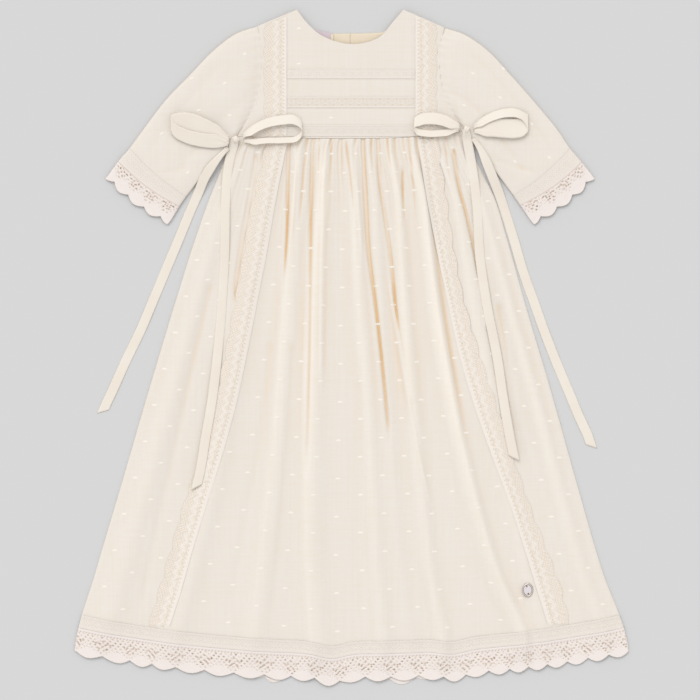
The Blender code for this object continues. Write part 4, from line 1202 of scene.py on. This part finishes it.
def yoke_trims():
    for side, (scalloped, straight) in YOKE_LACE.items():
        wide = abs(scalloped - straight)

        def lay(share, v, raised):
            x = straight + (scalloped - straight) * v / wide
            slope = (SHOULDER_OUT - np.abs(x)) / (SHOULDER_OUT - abs(FRONT_NECK[0][0]))
            head = SHOULDER_LOW + SHOULDER_RISE * slope
            foot = YOKE_LACE_FOOT if side == "left" else waist_line(x) + YOKE_LACE_CLEAR
            y = head + (foot - head) * share
            return x, y, bodice_top(x, y) + YOKE_LACE_LIFT + raised

        pattern = edging(wide, YOKE_LACE_LONG / YOKE_LACE_SCALLOPS, 2.0, 0.9, 3.6, solid=None)
        lace(f"yoke_lace_{side}_lace", (YOKE_LACE_LONG, wide), 0.55, pattern, lay, LACE)
    left, right = YOKE_BAND_SPAN
    for name, (upper, lower) in YOKE_BANDS.items():

        def lay(share, v, raised):
            x, y = left + (right - left) * share, upper - v
            return x, y, bodice_top(x, y) + YOKE_BAND_LIFT + raised

        wide = upper - lower
        pattern = insertion(wide, 8.7, "zigzag") if name == "yoke_insertion_middle" else insertion(wide, 3.0)
        lace(name + "_lace", (right - left, wide), 0.5, pattern, lay, BAND_LACE, 0.2)


def pinched(line, least, length, both_ends=False):
    """The share of the ribbon's width along a route: gathered in where it leaves the knot."""
    steps = np.linalg.norm(np.diff(line[:, :2], axis=0), axis=1)
    reach = np.concatenate([[0.0], np.cumsum(steps)])
    near = np.minimum(reach, reach[-1] - reach) if both_ends else reach
    return least + (1.0 - least) * smooth_step(near / length), near


def ribbon(name, middle, side, near, sag=0.0):
    """Satin across a route: side is the half width, with small folds where the knot gathers it in."""
    spans = np.linspace(-1.0, 1.0, 13)
    up = np.cross(side, np.gradient(middle, axis=0))
    up /= np.linalg.norm(up, axis=1)[:, None]
    folds = 0.55 * np.cos(spans * 7.5)[None, :] * np.exp(-near / 7.0)[:, None]
    points = middle[:, None] + side[:, None] * spans[None, :, None] + up[:, None] * folds[..., None]
    points[..., 2] -= sag * np.abs(spans) ** 4
    long = float(np.linalg.norm(np.diff(middle, axis=0), axis=1).sum())
    FLAT[name + "_satin"] = (long * MM, RIBBON_WIDTH * MM)
    cloth(name + "_satin", points, SATIN, wall=0.35)


def loops():
    """The loops lie half over, so each strand shows its face: the outer edge stays, the inner reaches in."""
    for name, (lean, foot, points) in BOWS.items():
        base = route(points, LOOP_STEPS)
        shares, near = pinched(base, LOOP_PINCH, LOOP_PINCH_LENGTH, both_ends=True)
        t = np.linspace(0.0, 1.0, len(base))
        upper = smooth_step((0.5 - t) / 0.16 + 0.5)
        faces = LOOP_FACES[name]
        shown = (faces[1] + (faces[0] - faces[1]) * upper) * shares
        drawn = RIBBON_WIDTH * math.sin(LEAN) * shares
        at_rim = upper if lean > 0.0 else 1.0 - upper
        base[:, 1] -= lean * (shown - drawn) * at_rim
        half = 0.5 * np.column_stack([np.zeros(len(t)), lean * shown, LOOP_RISE * shares])
        ribbon(name, np.column_stack([base, np.full(len(base), foot)]) + half, half, near)


def knots():
    """Ribbon drawn once round the loops, with the small folds of a pulled knot."""
    around = np.linspace(0.0, 2.0 * np.pi, 49)[:-1]
    share, angle = np.meshgrid(np.linspace(-1.0, 1.0, 27), around, indexing="ij")
    folds = 0.07 * np.cos(8.0 * share + 1.2 * np.sin(angle)) + 0.03 * np.cos(15.0 * share + 2.0 * angle)
    reach = np.sqrt(np.maximum(1.0 - np.abs(share) ** 5, 0.02)) * (1.0 + folds)
    long, wide, tall = KNOT_SIZE
    x = 0.5 * long * share * (1.0 + 0.06 * np.cos(2.0 * angle))
    y = 0.5 * wide * reach * np.cos(angle)
    z = 0.5 * tall * reach * np.sin(angle)
    for name, (across, along, foot, turn) in KNOTS.items():
        cos, sin = math.cos(math.radians(turn)), math.sin(math.radians(turn))
        points = spread(across + x * cos - y * sin, along + x * sin + y * cos, foot + 0.5 * tall + z)
        cloth(name + "_satin", points, SATIN, closed=True)


def crosswise(line, least, length):
    """For each point of a route, half the ribbon's width at right angles to it, level."""
    way = np.gradient(line[:, :2], axis=0)
    way /= np.linalg.norm(way, axis=1)[:, None]
    share, near = pinched(line, least, length)
    across = np.column_stack([-way[:, 1], way[:, 0], np.zeros(len(way))])
    return across * 0.5 * RIBBON_WIDTH * share[:, None], near


def slanted(middle, side, lean):
    """Cuts the free end of a tail at a slant."""
    way = np.gradient(middle, axis=0)
    way /= np.linalg.norm(way, axis=1)[:, None]
    count = len(middle)
    late = np.clip((np.arange(count) - count * 0.9) / (count * 0.1), 0.0, 1.0)
    return side + way * (late * lean)[:, None]


def lace_edges(along):
    """The two edges of each skirt lace at a height on the skirt, the left one first."""
    for rows in SKIRT_LACE.values():
        edges = through(rows, along, 1), through(rows, along, 2)
        yield np.minimum(*edges), np.maximum(*edges)


def under_at(across, along):
    """Height of what lies under a ribbon."""
    left, right = skirt_sides(along)
    beside = (along > UNDERARM) & ((across < left - 3.5) | (across > right + 3.5))
    height = bed(skirt_top, across, along)
    for low, high in lace_edges(along):
        height = height + 1.0 * ((across > low - 1.5) & (across < high + 1.5))
    height = np.where(along > waist_line(across) - 1.0, bodice_top(across, along) + 1.3, height)
    return np.where(beside, SLEEVE_HIGH, height)


def tails():
    for name, points in SKIRT_TAILS.items():
        line = route(points, TAIL_STEPS)
        side, near = crosswise(line, 0.72, 10.0)
        spots = [line[:, :2] + side[:, :2] * s for s in (-1.0, -0.5, 0.0, 0.5, 1.0)]
        heights = np.max([under_at(spot[:, 0], spot[:, 1]) for spot in spots], axis=0)
        for _ in range(10):
            padded = np.pad(heights, 1, mode="edge")
            heights = np.maximum(heights, 0.5 * padded[:-2] + 0.5 * padded[2:])
        heights = np.convolve(np.pad(heights, 6, mode="edge"), np.ones(13) / 13.0, mode="valid")
        over_knot = TAIL_RISE * (1.0 - smooth_step(near / 11.0))
        middle = np.column_stack([line[:, :2], heights + 0.3 + over_knot])
        ribbon(name, middle, slanted(middle, side, TAIL_SLANT[name]), near, TAIL_SAG)
    for name, points in SIDE_TAILS.items():
        line = route(points, TAIL_STEPS)
        waves = 1.0 + np.sin(np.linspace(0.0, 22.0, TAIL_STEPS + 1))
        lift = 0.15 * waves * smooth_step(np.linspace(0.0, 2.0, TAIL_STEPS + 1))
        line[:, 2] = np.maximum(line[:, 2], 0.3) + 0.25 + lift
        side, near = crosswise(line, 0.45, 34.0)
        ribbon(name, line, slanted(line, side, TAIL_SLANT[name]), near, SIDE_TAIL_SAG)


def skirt_dots():
    """Across, along and turn of the dots on the skirt: offset rows, left out under the laces."""
    random.seed(4)
    spots = []
    for column in range(DOT_COLUMNS):
        for row in range(DOT_ROWS):
            down = (row + (0.5 if column % 2 else 0.0)) * DOT_PITCH / SKIRT_LONG + 0.03
            if not 0.02 < down < 0.985:
                continue
            x, y = skirt_point((column + 0.5) / DOT_COLUMNS + random.uniform(-0.002, 0.002), down)
            if not any(low - 3.0 < x < high + 3.0 for low, high in lace_edges(y)):
                spots.append((float(x), float(y), random.uniform(-0.06, 0.06)))
    return spots


def dots():
    """Woven dots of the plumeti cloth, each a small raised dash that follows the folds."""
    rings = ((0.0, 0.30), (0.5, 0.27), (0.8, 0.16), (1.0, -0.1))
    reach, high = (np.array(column)[None, :, None] for column in zip(*rings))
    angles = np.linspace(0.0, 2.0 * np.pi, 12, endpoint=False)
    points = []
    kinds = [(skirt_top, skirt_dots()), (bodice_top, YOKE_DOTS)]
    kinds += [(sleeve_top(side), places) for side, places in SLEEVE_DOTS.items()]
    for top, places in kinds:
        x, y, turn = (np.array(column)[:, None, None] for column in zip(*places))
        long = np.where(y < SKIRT_DOTS_END, DOT_LONG, DOT_SHORT)
        dx, dy = long * reach * np.cos(angles), DOT_WIDE * reach * np.sin(angles)
        px = x + dx * np.cos(turn) - dy * np.sin(turn)
        py = y + dx * np.sin(turn) + dy * np.cos(turn)
        points.append(spread(px, py, top(px, py) + high).reshape(-1, 3))
    points = np.concatenate(points)
    ring = grid_faces(len(rings), 12, closed=True)
    each = 12 * len(rings)
    faces = np.concatenate([ring + k * each for k in range(len(points) // each)])
    finished("plumeti_dots", mesh_of("plumeti_dots", points, faces), DOT_THREAD, ())


def charm():
    """A stamped oval disc with a raised rim and two holes."""
    columns, rows = np.arange(-5.8, 5.81, CHARM_CELL), np.arange(-7.2, 7.21, CHARM_CELL)
    x, y = np.meshgrid(columns, rows, indexing="ij")
    inside = (1.0 - np.hypot(x / CHARM_HALF[0], y / CHARM_HALF[1])) * 6.0
    amount = inside
    for hole_x, hole_y in CHARM_HOLES:
        amount = np.minimum(amount, np.hypot(x - hole_x, y - hole_y) - CHARM_HOLE)
    groove = bump(inside - 1.25, 0.35)
    # Painted shade in the groove by the rim and round the holes, which the finish reads
    shade = np.maximum(groove, 1.0 - smooth_step(amount / 0.4))
    high = CHARM_THICK - 0.25 * smooth_step(inside - 0.7) - 0.5 * bump(inside, 0.4) - 0.15 * groove
    spots = (middle + np.linspace(-half, half, 9) for middle, half in zip(CHARM_AT, CHARM_HALF))
    ground = bed(skirt_top, *spots)
    z = float(np.max(ground)) + 0.3 + high
    points = np.stack([x + CHARM_AT[0], y + CHARM_AT[1], z, shade], axis=-1).reshape(-1, 4)
    quads = grid_faces(*x.shape)
    faces = np.concatenate([quads[:, [0, 2, 1]], quads[:, [0, 3, 2]]])
    points, faces = cut_to_pattern(points, amount.ravel(), faces)
    mesh = mesh_of("charm_disc", points[:, :3], faces[:, ::-1])
    mark(mesh, "painted_shade", points[:, 3])
    thickened(finished("charm_disc", mesh, STEEL), "plate", 0.6 * CHARM_THICK)


def studio():
    corners = [(x * PAPER_HALF, y * PAPER_HALF, 0.0) for x, y in ((-1, -1), (1, -1), (1, 1), (-1, 1))]
    mesh = bpy.data.meshes.new("paper_sweep")
    mesh.from_pydata(corners, [], [(0, 1, 2, 3)])
    floor = bpy.data.objects.new("paper_sweep", mesh)
    bpy.context.scene.collection.objects.link(floor)
    mesh.materials.append(PAPER)
    world = bpy.data.worlds.new("studio")
    world.use_nodes = True
    values = {"Color": (1.0, 1.0, 1.0, 1.0), "Strength": SKY_LIGHT}
    fill(world.node_tree, world.node_tree.nodes["Background"], values)
    bpy.context.scene.world = world
    light = bpy.data.lights.new("key", "SUN")
    light.angle = math.radians(LAMP_SPREAD)
    light.energy = LAMP_LIGHT
    lamp = bpy.data.objects.new("key", light)
    lamp.rotation_euler = Vector(LAMP_WAY).to_track_quat("-Z", "Y").to_euler()
    bpy.context.scene.collection.objects.link(lamp)
    bpy.context.scene.view_settings.view_transform = "Standard"


def camera():
    """Looks straight down, as the photograph does."""
    lens = bpy.data.cameras.new("camera")
    lens.sensor_width = SENSOR
    lens.lens = SENSOR * VIEW_HEIGHT / VIEW_WIDTH
    lens.clip_end = 20.0
    made = bpy.data.objects.new("camera", lens)
    made.location = (VIEW_AT[0] * MM, VIEW_AT[1] * MM, VIEW_HEIGHT)
    bpy.context.scene.collection.objects.link(made)
    bpy.context.scene.camera = made


def declare():
    """Lists how each piece of cloth was cut, in metres, and what is sewn to it; the lists are not passed on.
    """
    backs = ["bodice_back_left_cloth", "bodice_back_right_cloth"]
    facts = {
        # flat width, flat length, area, how it lies, what it lies on
        "skirt_front_cloth": (0.62, 0.53, 0.255, "gathered", ["skirt_back_cloth"]),
        "skirt_back_cloth": (0.60, 0.53, 0.24, "laid", []),
        "bodice_front_cloth": (0.236, 0.135, 0.0245, "laid", backs),
        "back_placket_cloth": (0.014, 0.0935, None, "laid", backs[:1]),
        "neck_label_cloth": (0.0245, 0.014, None, "laid", backs[:1]),
    }
    facts.update({name: (0.118, 0.135, 0.0125, "laid", []) for name in backs})
    facts.update({f"sleeve_{side}_cloth": (0.24, 0.17, 0.031, "laid", []) for side in SLEEVES})
    for name, (long, wide) in FLAT.items():
        if wide >= NARROWEST_SHEET:
            facts[name] = (wide, long, None, "laid", [])
    sewn_on = {
        "skirt_front_cloth": ("plumeti_dots", "charm_disc"),
        "bodice_front_cloth": ("yoke_insertion_upper_lace", "waist_insertion_lace"),
        "neck_label_cloth": ("label_tab_cloth",),
        "bow_left_loop_outer_satin": ("bow_left_knot_satin",),
        "bow_right_loop_outer_satin": ("bow_right_knot_satin",),
    }
    made = {piece.name: piece for piece in GOWN}
    for name, piece in made.items():
        if name in facts:
            wide, long, area, held, on = facts[name]
            rest = [made[other] for other in sewn_on.get(name, ())]
            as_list(on)


for make in (
    skirt_front, skirt_back, hem_laces, skirt_laces, sleeve_clothes, cuff_laces, bodice, inside_of_back,
    yoke_trims, loops, knots, tails, dots, charm, declare, studio, camera,
):
    make()
